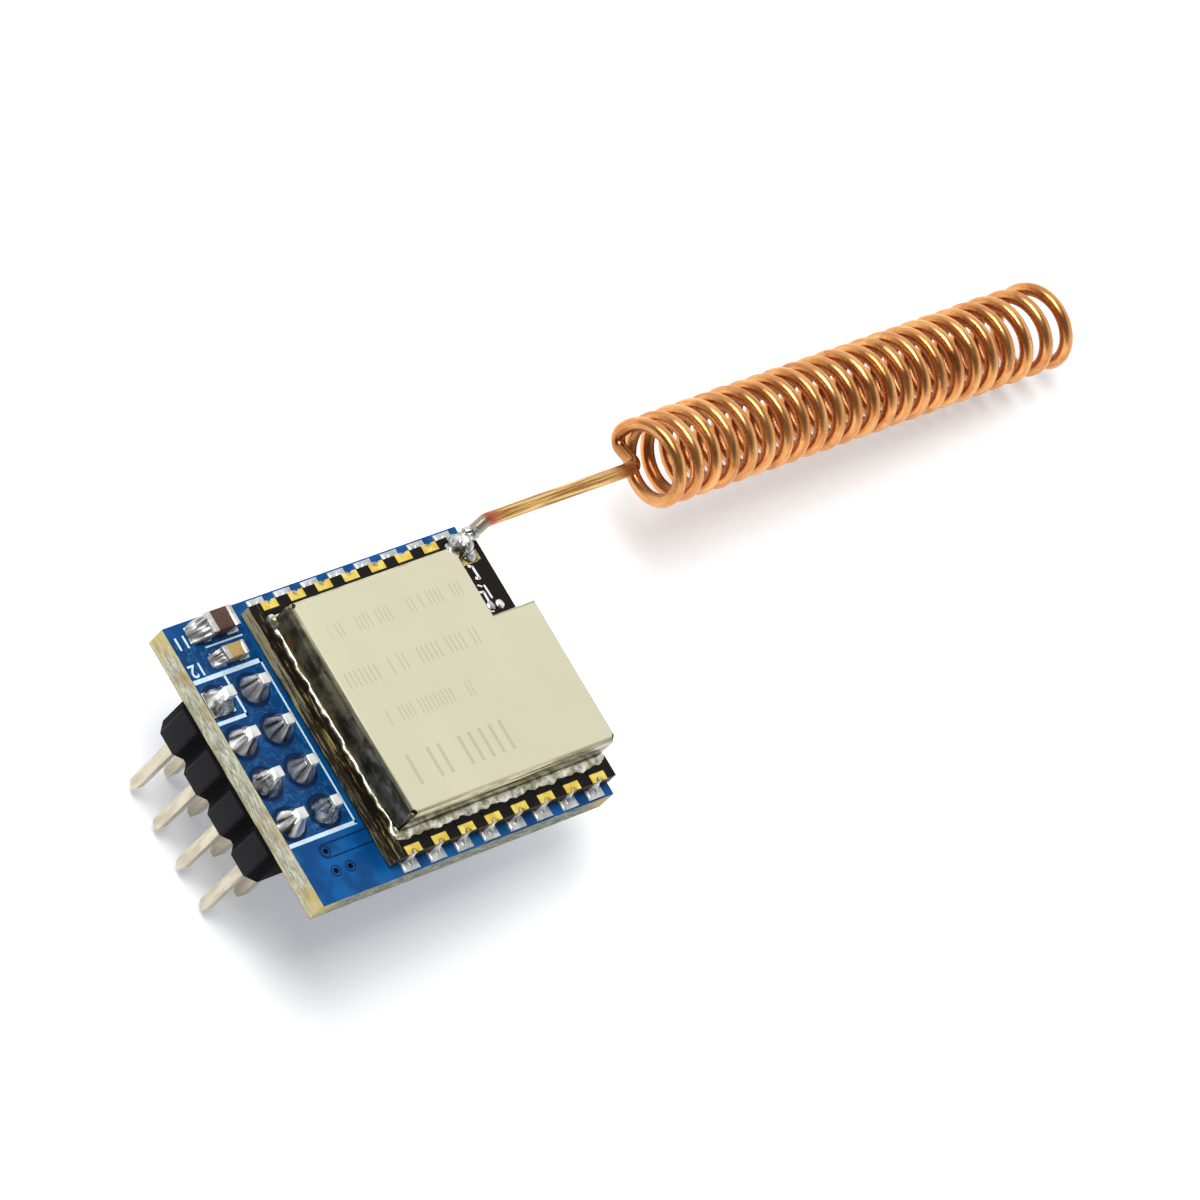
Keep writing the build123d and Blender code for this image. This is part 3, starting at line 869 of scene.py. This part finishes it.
def antenna_line():
    """Foot, ramp, lead and hook, then x = pitch * turns and a circle of y and z, a little uneven."""
    foot_z = contacts_top + 0.42
    foot = np.array([module_high[0] - 1.9, module_high[1] - 0.72, foot_z])
    start_x = lead_end + hook_out
    corners = np.array([
        foot,
        foot + (1.0, 0.2, 0.0),
        (foot[0] + 2.4, lead_y, lead_z),
        (lead_end, lead_y, lead_z),
        (start_x, lead_y + coil_radius, lead_z - coil_radius * tan(hook_angle)),
        (start_x, lead_y + coil_radius, lead_z),
    ])
    radii = [1.2, 1.2, 0.7, 0.6]
    bends = [rounded_corner(*corners[i:i + 3], radii[i]) for i in range(4)]
    angle = np.linspace(0, all_turns * 2 * pi, int(all_turns * samples_per_turn))
    turned = angle / (2 * pi)
    along = start_x + coil_pitch * np.minimum(turned, close_turns)
    along = along + open_pitch * np.maximum(turned - close_turns, 0)
    settle = np.clip(turned * 2, 0, 1)
    along = along + settle * settle_along * np.sin(turned * 2.1 * pi + 1.0) * np.sin(turned * 0.7)
    radius = coil_radius + settle * settle_radius * np.sin(turned * 1.3 * pi)
    helix = np.stack([along, lead_y + radius * np.cos(angle), lead_z + radius * np.sin(angle)], axis=-1)
    return np.concatenate([corners[:1], *bends, helix])


antenna_points = antenna_line()
steps_along = np.linalg.norm(np.diff(antenna_points, axis=0), axis=1)
travelled = np.concatenate([[0], np.cumsum(steps_along)])
print("antenna wire", round(float(travelled[-1]), 1), "mm long")

# %% [markdown]
# The wire's colours follow its length: tin where the solder climbed it, a neck that the heat
# turned red, a golden lead, then brown copper with painted shade on the inner side of the coil.
# A pattern in space would cut straight across the turns, so the distance travelled goes into a
# UV map with the way round, and the drawn lines are a noise that is stretched along that map.

# %% Copper
tinned_end = (2.2, 2.6)
stained_neck = (2.7, 3.9)
golden_lead = (10.0, 15.0)
inner_shade_band = (coil_radius - 0.3, coil_radius + 0.15)


def copper_wire():
    """Tinned end, red stained neck, golden lead, and a coil with painted shade on its inner side."""
    finish = Finish("copper_wire", Metallic=1.0)
    wrap = finish.node("ShaderNodeUVMap", {"uv_map": "wrap"})
    along = finish.parts(wrap)[0]
    streaks = finish.noise(1.6, 4.0, 0.65, finish.stretched((0.2, 3.0, 1.0), wrap))
    lines = finish.noise(1.6, 3.0, 0.6, finish.stretched((0.12, 9.0, 1.0), wrap))
    clouds = finish.noise(0.8, 3.0)
    uneven = along + 0.5 * (clouds - 0.5)
    copper = finish.blend(finish.smooth(streaks, 0.35, 0.68), paint(204, 134, 79), paint(244, 183, 117))
    copper = finish.blend(finish.smooth(clouds, 0.56, 0.74) * 0.55, copper, paint(150, 84, 48))
    from_axis = finish.reach(finish.y - lead_y, finish.z - lead_z)
    # painted shade on the inner side of the coil
    inside = 1 - finish.smooth(from_axis, *inner_shade_band)
    copper = finish.blend(inside * 0.5, copper, paint(130, 68, 36))
    golden = finish.blend(finish.smooth(lines, 0.38, 0.6), paint(148, 90, 42), paint(238, 202, 130))
    colour = finish.blend(finish.smooth(uneven, *golden_lead), golden, copper)
    colour = finish.blend(finish.smooth(uneven, *stained_neck), paint(176, 96, 70), colour)
    tin = finish.smooth(uneven + 0.8 * (streaks - 0.5), *tinned_end)
    colour = finish.blend(tin, paint(164, 154, 138), colour)
    return finish.dress(colour, 0.18 + 0.18 * finish.noise(1.5), streaks * 0.012 + clouds * 0.02)


copper = copper_wire()
print("copper of", len(copper.node_tree.nodes), "nodes")

# %% [markdown]
# The round section is carried along the line as rings. A curve's bevel could do it, but its
# rings may twist from turn to turn. Here each ring is set by the line's direction and one
# fixed hint that the wire never points along, so the streaks stay along the wire.

# %% Antenna wire
wire_radius = 0.4
wire_columns = 20
frame_hint = np.array([0.8, 0.0, -0.6])


def wire_rings(line):
    """Rings square to the line: side = heading x hint, rise = side x heading, then a circle of both."""
    steps = unit(np.diff(line, axis=0))
    heading = unit(np.concatenate([steps[:1], steps[1:] + steps[:-1], steps[-1:]]))
    side = unit(np.cross(heading, frame_hint))
    rise = np.cross(side, heading)
    angle = np.linspace(0, 2 * pi, wire_columns, endpoint=False)[None, :, None]
    circle = np.cos(angle) * side[:, None, :] + np.sin(angle) * rise[:, None, :]
    return line[:, None, :] + wire_radius * circle


antenna_tube = closed_rings(wire_rings(antenna_points))
around = np.linspace(0, 1, wire_columns, endpoint=False)
antenna_wrap = grid_points(travelled[:, None], around[None, :])
antenna_wrap = np.concatenate([antenna_wrap.reshape(-1, 2), [[0, 0.5], [travelled[-1], 0.5]]])
replaced = ["antenna_coil"]
make_piece("antenna_wire", antenna_tube, copper, replaced, antenna_wrap, 60)
print("wire tube of", len(antenna_tube[0]), "points")

# %% [markdown]
# A blob of solder holds the wire's foot: one round mass over the foot, a lower tongue on the
# pad, and a collar that the wire drags with it. One ball would have no necks between them, so
# each is a ball of its own, stretched along its axes, with swells and sharp creases from a few
# plane waves, and they are sunk into each other.

# %% Solder on the antenna's foot
ball_rows = 28
ball_columns = 40
lump_creases = 0.6
wave_gain = 2.4
# each lump: offset from the middle, three radii, seed and size of its waves
blob_lumps = (
    ((-0.1, 0.02, 0.22), (0.72, 0.7, 0.78), 3, 0.1),
    ((-0.62, -0.12, 0.04), (0.5, 0.52, 0.4), 5, 0.12),
    ((0.62, 0.32, 0.62), (0.62, 0.44, 0.46), 8, 0.12),
)


def lump(centre, radii, seed, waves=0.08):
    """A stretched ball whose distance from its middle is bent by a few random plane waves."""
    tilt = np.linspace(0.04, pi - 0.04, ball_rows)[:, None]
    turned = np.linspace(0, 2 * pi, ball_columns, endpoint=False)[None, :]
    direction = grid_points(np.sin(tilt) * np.cos(turned), np.sin(tilt) * np.sin(turned), -np.cos(tilt))
    draw = np.random.default_rng(seed)
    pulls = draw.normal(0, 3.0, size=(6, 3))
    phases = draw.uniform(0, 2 * pi, size=6)
    swell = np.sin(direction @ pulls.T + phases)
    bend = (swell + lump_creases * (0.6 - abs(swell))).mean(axis=-1, keepdims=True)
    return closed_rings(centre + direction * radii * (1 + wave_gain * waves * bend))


def lumps(middle, rows):
    """Several lumps round one middle."""
    return [lump(np.add(middle, offset), radii, seed, waves) for offset, radii, seed, waves in rows]


blob_middle = (module_high[0] - 1.45, module_high[1] - 0.8, contacts_top)
antenna_blob = join_shapes(lumps(blob_middle, blob_lumps))
make_piece("antenna_blob", antenna_blob, rough_solder, ["antenna_solder"], smooth_angle=40)
print("antenna blob of", len(antenna_blob[0]), "points")

# %% [markdown]
# At each half hole the solder fills the plated notch with a round bead, runs down from it as
# a thin strand, and spreads as a low pillow on the landing pad. Three shapes would show seams
# where they meet, so one height adds them up. A row of the grid is a ring across the pad: its
# upper half is pillow, strand and bead together, its lower half is flat.

# %% One strand of solder
notch_reach = 0.27
pad_reach = 0.6
pad_half = 0.58
pillow_height = 0.09
strand_width = 0.06
bead_width = 0.19
bead_place = -0.08
pad_sink = 0.01


def on_pad(upper):
    """Rings: the given surface, and the same outline flat, just below the top of the pads."""
    lower = upper[:, ::-1, :] * (1, 1, 0) + (0, 0, pads_top - pad_sink)
    return np.concatenate([upper, lower], axis=1)


def edge_strand(x, side, seed):
    """Height = pillow + climb; the climb is a ridge, wide at the bead and thin on the way down."""
    draw = np.random.default_rng(seed)
    lean = draw.uniform(-0.2, 0.2)
    swell = draw.uniform(0.85, 1.2)
    fall = draw.uniform(0.85, 1.0)
    inner = np.linspace(-notch_reach, 0, 10)
    outer = np.linspace(0.06, pad_reach, 22)
    out = np.concatenate([inner, [0.03], outer])[:, None]
    share = np.linspace(-1, 1, 29)[None, :]
    inside = np.sqrt(np.clip(notch_reach ** 2 - out ** 2, 1e-6, None))
    corner = np.clip((pad_reach - out) / 0.08, 0.0, 1.0) ** 0.4
    flare = np.clip(out / 0.05, 0, 1)
    wide = pad_half * (0.86 + 0.14 * corner)
    half = np.where(out < 0, inside, notch_reach + (wide - notch_reach) * flare)
    offset = share * half
    away = np.clip(out / pad_reach, 0, 1)
    pillow = pillow_height * swell * (1 - share ** 8) * (1 - away ** 8) * (out >= 0)
    bead = np.exp(-(((out - bead_place) / 0.12) ** 2))
    width = strand_width + (bead_width - strand_width) * bead + 0.08 * away ** 2
    drop = np.clip(1 - away * 1.1, 0, 1) ** 2.4
    ridge = np.exp(-(((offset - lean * away) / width) ** 2))
    climb = (contacts_top - pads_top + 0.05) * fall * drop * ridge
    top = pads_top + pillow + climb
    edge = side * module_high[1]
    rings = on_pad(grid_points(x + offset, edge + side * out, top))
    return closed_rings(rings if side > 0 else rings[:, ::-1, :])


print("a strand climbs", (contacts_top - pads_top).round(2), "mm")

# %% Solder at the half holes
contact_pitch = 2.0
contact_count = 8
contact_seed = 7
contact_last = module_high[0] - 1.24
contact_xs = contact_last - contact_pitch * np.arange(contact_count)
strands = []
for side in (-1, 1):
    for place, x in enumerate(contact_xs, start=2):
        strands.append(edge_strand(x, side, contact_seed * place + side))
make_piece("edge_strands", join_shapes(strands), strand_tin, ["edge_solder"], smooth_angle=70)
print(len(strands), "half holes soldered")

# %% [markdown]
# The can is one sheet of nickel silver, folded down on all sides. Its top carries rows of
# faint strokes made by a laser, a few thousandths of a millimetre deep. Cutting them into the
# mesh would cost thousands of faces for something so shallow, so they are a mask that darkens
# the metal and lowers it a little.

# %% Engraved strokes
# each row: its lowest and highest y, its lowest and highest x, its strokes to a millimetre
mark_rows = (
    (4.0, 4.9, 5.4, 15.4, 3.4),
    (1.1, 2.1, 4.6, 14.6, 2.8),
    (-1.5, -0.6, 5.8, 12.4, 3.4),
    (-5.1, -3.3, 5.2, 13.2, 1.3),
)


def engraved(finish):
    """Rows of plain upright strokes, some left out, each row with its own number to a millimetre."""
    rows = []
    for low, high, left, right, count in mark_rows:
        cell = (finish.x * count).math("FLOOR")
        chance = finish.node("ShaderNodeTexWhiteNoise", {"noise_dimensions": "1D"}, {"W": cell + low})
        share = (finish.x * count).math("FRACT")
        stroke = finish.within(share, 0.22, 0.5, 0.08) * chance.math("GREATER_THAN", 0.3)
        rows.append(stroke * finish.within(finish.y, low, high) * finish.within(finish.x, left, right))
    return finish.highest(rows)


print(len(mark_rows), "rows of strokes")

# %% [markdown]
# The top is satin and pale. The walls are darker: they mirror the boards and hold the dirt of
# soldering, with painted bands of dark reflection along them, and flux has browned the long
# wall that faces the header, which also carries painted dark reflection and sheen. At three
# corners the folded walls leave a small hole, painted dark as shade. All of it is one material
# that reads height and place.

# %% Shield can
hole_inset = 0.1
hole_reach = (0.22, 0.3)
corner_holes = [
    (can_low[0] + hole_inset, can_high[1] - hole_inset),
    (can_low[0] + hole_inset, can_low[1] + hole_inset),
    (can_high[0] - hole_inset, can_low[1] + hole_inset),
]


def nickel_sheet():
    """Pale satin top; olive walls with painted reflection bands; one long wall browned by flux,
    with painted dark reflection and sheen; painted shade in three corner holes.
    """
    finish = Finish("nickel_sheet", Metallic=1.0)
    fine = finish.noise(2.2, 4.0, 0.65)
    top = finish.smooth(finish.z, can_high[2] - 0.08, can_high[2] - 0.01)
    marks = engraved(finish) * top
    pale = finish.blend(finish.noise(0.22, 2.0), paint(202, 198, 170), paint(212, 208, 181))
    pale = finish.blend(marks * 0.45, pale, paint(160, 156, 130))
    drawn = finish.noise(0.9, 4.0, 0.7, finish.stretched((0.5, 0.5, 3.0)))
    up = (finish.z - can_low[2]) / (can_high[2] - can_low[2]) + 0.1 * (drawn - 0.5)
    wall = finish.blend(finish.smooth(drawn, 0.36, 0.66), paint(150, 144, 108), paint(206, 202, 170))
    # dark bands along the walls: painted reflection of the bead and the board
    reflection_bands = finish.highest([finish.within(up, 0.42, 0.66, 0.06), 1 - finish.smooth(up, 0.08, 0.22)])
    wall = finish.blend(reflection_bands * 0.9, wall, paint(62, 56, 30))
    # the long wall towards the header: flux stain with painted dark reflection, and a painted bluish-grey
    # sheen at its front end
    near = 1 - finish.smooth(finish.y, -6.0, 2.0)
    dull_and_sheen = finish.blend(near, paint(104, 102, 78), paint(114, 118, 118))
    brown = finish.blend(finish.smooth(finish.noise(0.8, 4.0, 0.6), 0.4, 0.62), paint(44, 40, 28), dull_and_sheen)
    # pale grey specks: painted sheen
    brown = finish.blend(finish.smooth(drawn, 0.54, 0.7) * 0.4, brown, paint(150, 152, 140))
    rust = finish.smooth(finish.noise(0.7, 3.0), 0.52, 0.62) * (1 - finish.smooth(up, 0.2, 0.5))
    brown = finish.blend(rust * 0.55, brown, paint(150, 104, 52))
    left = 1 - finish.smooth(finish.x, can_low[0] + 0.02, can_low[0] + 0.1)
    sheet = finish.blend(top, finish.blend(left, wall, brown), pale)
    # a small hole at three corners, painted dark as shade
    for x, y in corner_holes:
        hole_shade = finish.near((x, y, can_high[2]), *hole_reach)
        sheet = finish.blend(hole_shade, sheet, paint(26, 23, 18))
    stained = left * (1 - top)
    finish.feed("Metallic", 1 - 0.65 * stained - 0.65 * top)
    roughness = 0.22 + 0.26 * top + 0.24 * stained + 0.08 * fine
    height = finish.noise(0.35, 2.0) * 0.04 + fine * 0.003 - marks * 0.002
    return finish.dress(sheet, roughness, height)


dressed_copy("shield_can", nickel_sheet())
print("can dressed, top at", can_high[2].round(2))

# %% [markdown]
# The can is held to the board by a bead of solder that was run round its foot by hand, so
# it is wide in front, thin on the header side and wavy everywhere. A bevelled curve would be
# even all round. Here the bead is a half oval carried round the can's outline, with its width
# and height bent by waves, and a drop at both ends of the header side.

# %% Outline of the can's foot
notch_length = 3.15
notch_width = 4.4
corner_cut = 0.5


def can_outline():
    """The corners of the can's foot, in order, with the notch and its cut corner."""
    x0, y0 = can_low[:2]
    x1, y1 = can_high[:2]
    notch_x = x1 - notch_length
    return np.array([
        (x0, y0), (x1, y0), (x1, y1 - notch_width), (notch_x, y1 - notch_width),
        (notch_x, y1 - corner_cut), (notch_x - corner_cut, y1), (x0, y1),
    ])


print("the can's foot has", len(can_outline()), "corners")

# %% Seam round the can
seam_rows = 640
seam_columns = 14
header_side_ragged = 2.4
seam_widths = (0.5, 0.24, 0.12, 0.12, 0.14, 0.24, 0.17)
seam_heights = (0.14, 0.16, 0.14, 0.14, 0.2, 0.2, 0.14)
# each wave: its size, its rate along the seam, its start
width_waves = ((0.09, 5.1, 0), (0.1, 2.3, 1), (0.07, 8.7, 2))
height_waves = ((0.2, 1.1, 2), (0.16, 3.7, 0))


def smoothed(values, reach):
    """A running mean round a closed line."""
    window = np.ones(2 * reach + 1) / (2 * reach + 1)
    padded = np.concatenate([values[-reach:], values, values[:reach]])
    return np.stack([np.convolve(column, window, "valid") for column in padded.T], axis=-1)


def sum_of_waves(waves, along):
    """Sines of several lengths added up."""
    return sum(size * np.sin(rate * along + start) for size, rate, start in waves)


def seam_bead():
    """Half ovals square to the outline: outward by width * cos, up by height * sin."""
    corners = can_outline()
    runs = np.roll(corners, -1, axis=0) - corners
    lengths = np.linalg.norm(runs, axis=1)
    ends = np.concatenate([[0], np.cumsum(lengths)])
    travelled = np.linspace(0, ends[-1], seam_rows, endpoint=False)
    side = np.searchsorted(ends, travelled, side="right") - 1
    share = ((travelled - ends[side]) / lengths[side])[:, None]
    foot = corners[side] + share * runs[side]
    outward = np.stack([runs[side][:, 1], -runs[side][:, 0]], axis=-1) / lengths[side][:, None]
    outward = unit(smoothed(outward, 3))
    widths = smoothed(np.array([seam_widths, seam_heights]).T[side], 5)
    angle = np.linspace(0, 2 * pi, seam_columns, endpoint=False)[None, :]
    ragged = np.where(side == len(runs) - 1, header_side_ragged, 1.0)
    swell = np.clip(1 + ragged * sum_of_waves(width_waves, travelled), 0.1, None)
    width = widths[:, :1] * swell[:, None]
    height = widths[:, 1:] * (1 + sum_of_waves(height_waves, travelled)[:, None])
    away = np.where(np.cos(angle) > 0, width * np.cos(angle), 0.05 * np.cos(angle))
    rise = np.where(np.sin(angle) > 0, height * np.sin(angle), 0.012 * np.sin(angle))
    flat = foot[:, None, :] + outward[:, None, :] * away[..., None]
    rings = np.concatenate([flat, module_high[2] + rise[..., None]], axis=-1)
    return rings.reshape(-1, 3), grid_faces(seam_rows, seam_columns, loop=True)


corner_drops = [
    lump((can_low[0] - 0.1, can_high[1] - 0.16, module_high[2] + 0.16), (0.26, 0.44, 0.42), 31),
    lump((can_low[0] - 0.04, can_low[1] + 0.1, module_high[2] + 0.08), (0.16, 0.26, 0.24), 32),
]
seam = join_shapes([seam_bead()] + corner_drops)
make_piece("seam_bead", seam, seam_solder, ["shield_seam"], smooth_angle=75)
print("seam of", seam_rows, "ovals")

# %% [markdown]
# The chip capacitors are little bars of fired clay with plated ends. Their shapes in the CAD
# model are right, so they are only dressed: matt clay with a fine grain, and tin at the ends.


# %% Chip capacitors
def ceramic(name, light, dark):
    """Fired clay: two close colours in a fine grain."""
    finish = Finish(name)
    grain = finish.noise(3.0, 4.0, 0.6)
    return finish.dress(finish.blend(grain, dark, light), 0.38 + 0.16 * grain, grain * 0.01)


brown_ceramic = ceramic("brown_ceramic", paint(86, 48, 32), paint(62, 32, 20))
tan_ceramic = ceramic("tan_ceramic", paint(182, 156, 92), paint(150, 126, 66))
dressed_copy("capacitor_1_body", brown_ceramic, 0.04)
dressed_copy("capacitor_2_body", tan_ceramic, 0.03)
for number in (1, 2):
    for label in ("left", "right"):
        dressed_copy(f"capacitor_{number}_end_{label}", tin_end)
paint_nodes([f"matching_chip_{n}" for n in range(1, 9)], tan_ceramic)
paint_nodes(["matching_chip_ends", "crystal_lid"], tin_end)
paint_nodes(["crystal_base"], brown_ceramic)
print("two capacitors dressed")

# %% [markdown]
# The end that faces the board's edge carries a heavy lump of solder, the other a small one. A
# lump could be a stretched ball, but the real ones are ramps that fall away from the plated
# end, and froze in folds like the solder round the pins. So each is a grid of the way out and
# the way across, and takes its folds and its finish from there.

# %% Solder on the capacitors' ends
ramp_pleats = 10
ramp_crease = 30
ramp_under_end = 0.03
# each ramp: the plated end it leans on, its direction, reach, half width, height and seed
ramps = (
    ("capacitor_1_end_left", -1, 0.95, 0.72, 0.9, 11),
    ("capacitor_1_end_right", 1, 0.42, 0.62, 0.6, 12),
    ("capacitor_2_end_left", -1, 0.62, 0.5, 0.6, 13),
    ("capacitor_2_end_right", 1, 0.4, 0.42, 0.45, 14),
)


def solder_ramp(node, end, reach, wide, height, seed):
    """Height falls as (1 - way out) to a power; folds run out from the plated end like the joints' own."""
    low, high = span(node)
    wall = low[0] if end < 0 else high[0]
    middle = (low[1] + high[1]) / 2
    out = np.linspace(0, 1, 22)[:, None]
    share = np.linspace(-1, 1, 27)[None, :]
    draw = np.random.default_rng(seed)
    first, second = draw.uniform(0, 2 * pi, 2)
    waves = np.sin(4 * share + 3 * out + first) + np.sin(7 * out - 3 * share + second)
    folds = pleats(pi * share, seed, ramp_pleats) * np.sin(pi * np.clip(out * 0.8 + 0.15, 0, 1))
    narrow = 1 - 0.35 * out ** 2
    body = (1 - out) ** 0.9 * (1 - 0.28 * share ** 4) * (1 - share ** 12)
    top = pads_top + height * body * (1 + 0.05 * waves + 0.14 * folds) + 0.02 * (1 - out)
    foot = out * reach * (1 + 0.06 * np.sin(5 * share + first)) - ramp_under_end
    across = middle + share * wide * narrow
    rings = on_pad(grid_points(wall + end * foot, across, top))
    # the crests go into the UV map for the solder's painted highlight and shade
    crest = 0.5 + 0.5 * folds
    wrap = np.stack([np.concatenate([crest, crest[:, ::-1]], axis=1), rings[..., 2]], axis=-1)
    if end > 0:
        rings = rings[:, ::-1, :]
        wrap = wrap[:, ::-1, :]
    wrap = np.concatenate([wrap.reshape(-1, 2), np.full((2, 2), 0.5)])
    name = node.replace("end", "solder")
    make_piece(f"{name}_lump", closed_rings(rings), pleated, [name], wrap, ramp_crease)


for ramp in ramps:
    solder_ramp(*ramp)
print(len(ramps), "lumps of solder")

# %% [markdown]
# The white print on the lacquer is ink about a hundredth of a millimetre thick: a frame round
# the header with a box at its first pin, a line and two numbers by the capacitors, and strokes
# in the can's notch. It could be painted in the lacquer's material, but ink stands above it
# and catches the light. So its lines are thin boxes, and its numbers are Blender text turned
# into a mesh.

# %% Ink
ink_height = 0.015
ink_sink = 0.005


def white_ink(name, worn_colour, full_colour):
    """Matt ink, thinner in clouds so that the lacquer's colour shows in it."""
    finish = Finish(name, Roughness=0.5)
    finish.feed("Base Color", finish.blend(finish.noise(2.5, 3.0), worn_colour, full_colour))
    return finish.material


ink = white_ink("pale_ink", paint(168, 204, 230), paint(222, 238, 248))
module_ink = white_ink("white_ink", paint(214, 216, 216), paint(246, 246, 244))
print("ink", ink_height, "mm high")

# %% Lines and strokes
left_edge, front_edge = board_low[:2]
# each line: its lowest and highest x and y from the board's front left corner
frame_lines = (
    (0.0, 4.88, 13.76, 14.02), (4.76, 4.88, 3.62, 14.02), (0.0, 4.88, 3.56, 3.8),
    (2.04, 2.18, 11.2, 13.8), (0.0, 2.18, 11.2, 11.42), (1.96, 4.66, 15.5, 15.6),
)
# each stroke: its start, its end and its width
notch_marks = (
    ((18.2, 6.0), (18.46, 5.85), 0.16), ((18.46, 5.9), (18.5, 5.05), 0.16),
    ((18.5, 5.1), (18.24, 5.2), 0.16), ((18.1, 4.78), (18.35, 4.62), 0.1),
    ((18.52, 4.67), (18.56, 3.81), 0.13), ((17.82, 4.4), (17.76, 3.2), 0.2),
    ((17.7, 3.26), (18.2, 3.12), 0.2), ((18.2, 3.2), (18.24, 4.3), 0.16),
    ((17.8, 4.38), (18.28, 4.3), 0.13),
)


def pen_stroke(start, end, width):
    """A thin bar from one place to another on the module board."""
    start, end = np.array(start), np.array(end)
    along = unit(end - start)
    across = np.array([-along[1], along[0]]) * width / 2
    flat = np.stack([start - across, end - across, end + across, start + across])
    low = np.column_stack([flat, np.full(4, module_high[2] - ink_sink)])
    high = np.column_stack([flat, np.full(4, module_high[2] + ink_height)])
    return np.concatenate([low, high]), box_shape((0, 0, 0), (1, 1, 1))[1]


board_lines = []
for x0, x1, y0, y1 in frame_lines:
    low = (left_edge + x0, front_edge + y0, board_high[2] - ink_sink)
    high = (left_edge + x1, front_edge + y1, board_high[2] + ink_height)
    board_lines.append(box_shape(low, high))
make_piece("header_frame_print", join_shapes(board_lines), ink)
notch_lines = [pen_stroke(*mark) for mark in notch_marks]
make_piece("notch_print", join_shapes(notch_lines), module_ink)
print("print of", len(board_lines), "lines and", len(notch_lines), "strokes")

# %% Numbers
# each number: its figures and the x and y of its middle
numbers = (("11", -1.38, 7.6), ("12", -1.4, 5.9))
number_size = 1.1
number_weight = 0.012


def print_number(text, x, y, material):
    """A figure lying on the board, read from the far side: its points are turned half round."""
    curve = bpy.data.curves.new("number_" + text, "FONT")
    curve.body = text
    curve.size = number_size
    curve.extrude = ink_height / 2
    curve.offset = number_weight
    curve.align_x = "CENTER"
    curve.align_y = "CENTER"
    maker = add_object("maker", curve)
    bpy.context.view_layer.update()
    finished = maker.evaluated_get(bpy.context.evaluated_depsgraph_get())
    mesh = bpy.data.meshes.new_from_object(finished)
    bpy.data.objects.remove(maker)
    place = Matrix.Translation(Vector((x, y, board_high[2] + ink_height)) * MM)
    mesh.transform(place @ Matrix.Rotation(pi, 4, "Z") @ Matrix.Scale(MM, 4))
    mesh.materials.clear()
    mesh.materials.append(material)
    piece = add_object("number_" + text, mesh)
    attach(piece, "root")


for text, x, y in numbers:
    print_number(text, x, y, ink)
print(len(numbers), "numbers printed")

# %% [markdown]
# In the notch lie a square gold pad with a lump of solder that spilled on it, and two small
# pads tinned by hand. They are too thin to matter for the solids, but they catch the light,
# so the gold is a thin box and the tin is three flat lumps like those at the wire's foot.

# %% Pads in the notch
pad_low = (18.3, 6.12, module_high[2] - ink_sink)
pad_high = (19.3, 6.75, module_high[2] + 0.04)
spill_lumps = (
    ((18.72, 6.5, 0.06), (0.52, 0.36, 0.2), 21, 0.08),
    ((18.16, 3.42, 0.03), (0.26, 0.3, 0.1), 22, 0.06),
    ((18.8, 3.34, 0.03), (0.3, 0.3, 0.1), 23, 0.06),
)
make_piece("notch_pad", box_shape(pad_low, pad_high), pad_gold)
spill = join_shapes(lumps((0, 0, module_high[2]), spill_lumps))
make_piece("notch_solder", spill, rough_solder, smooth_angle=60)
print("one gold pad and", len(spill_lumps), "lumps of solder")
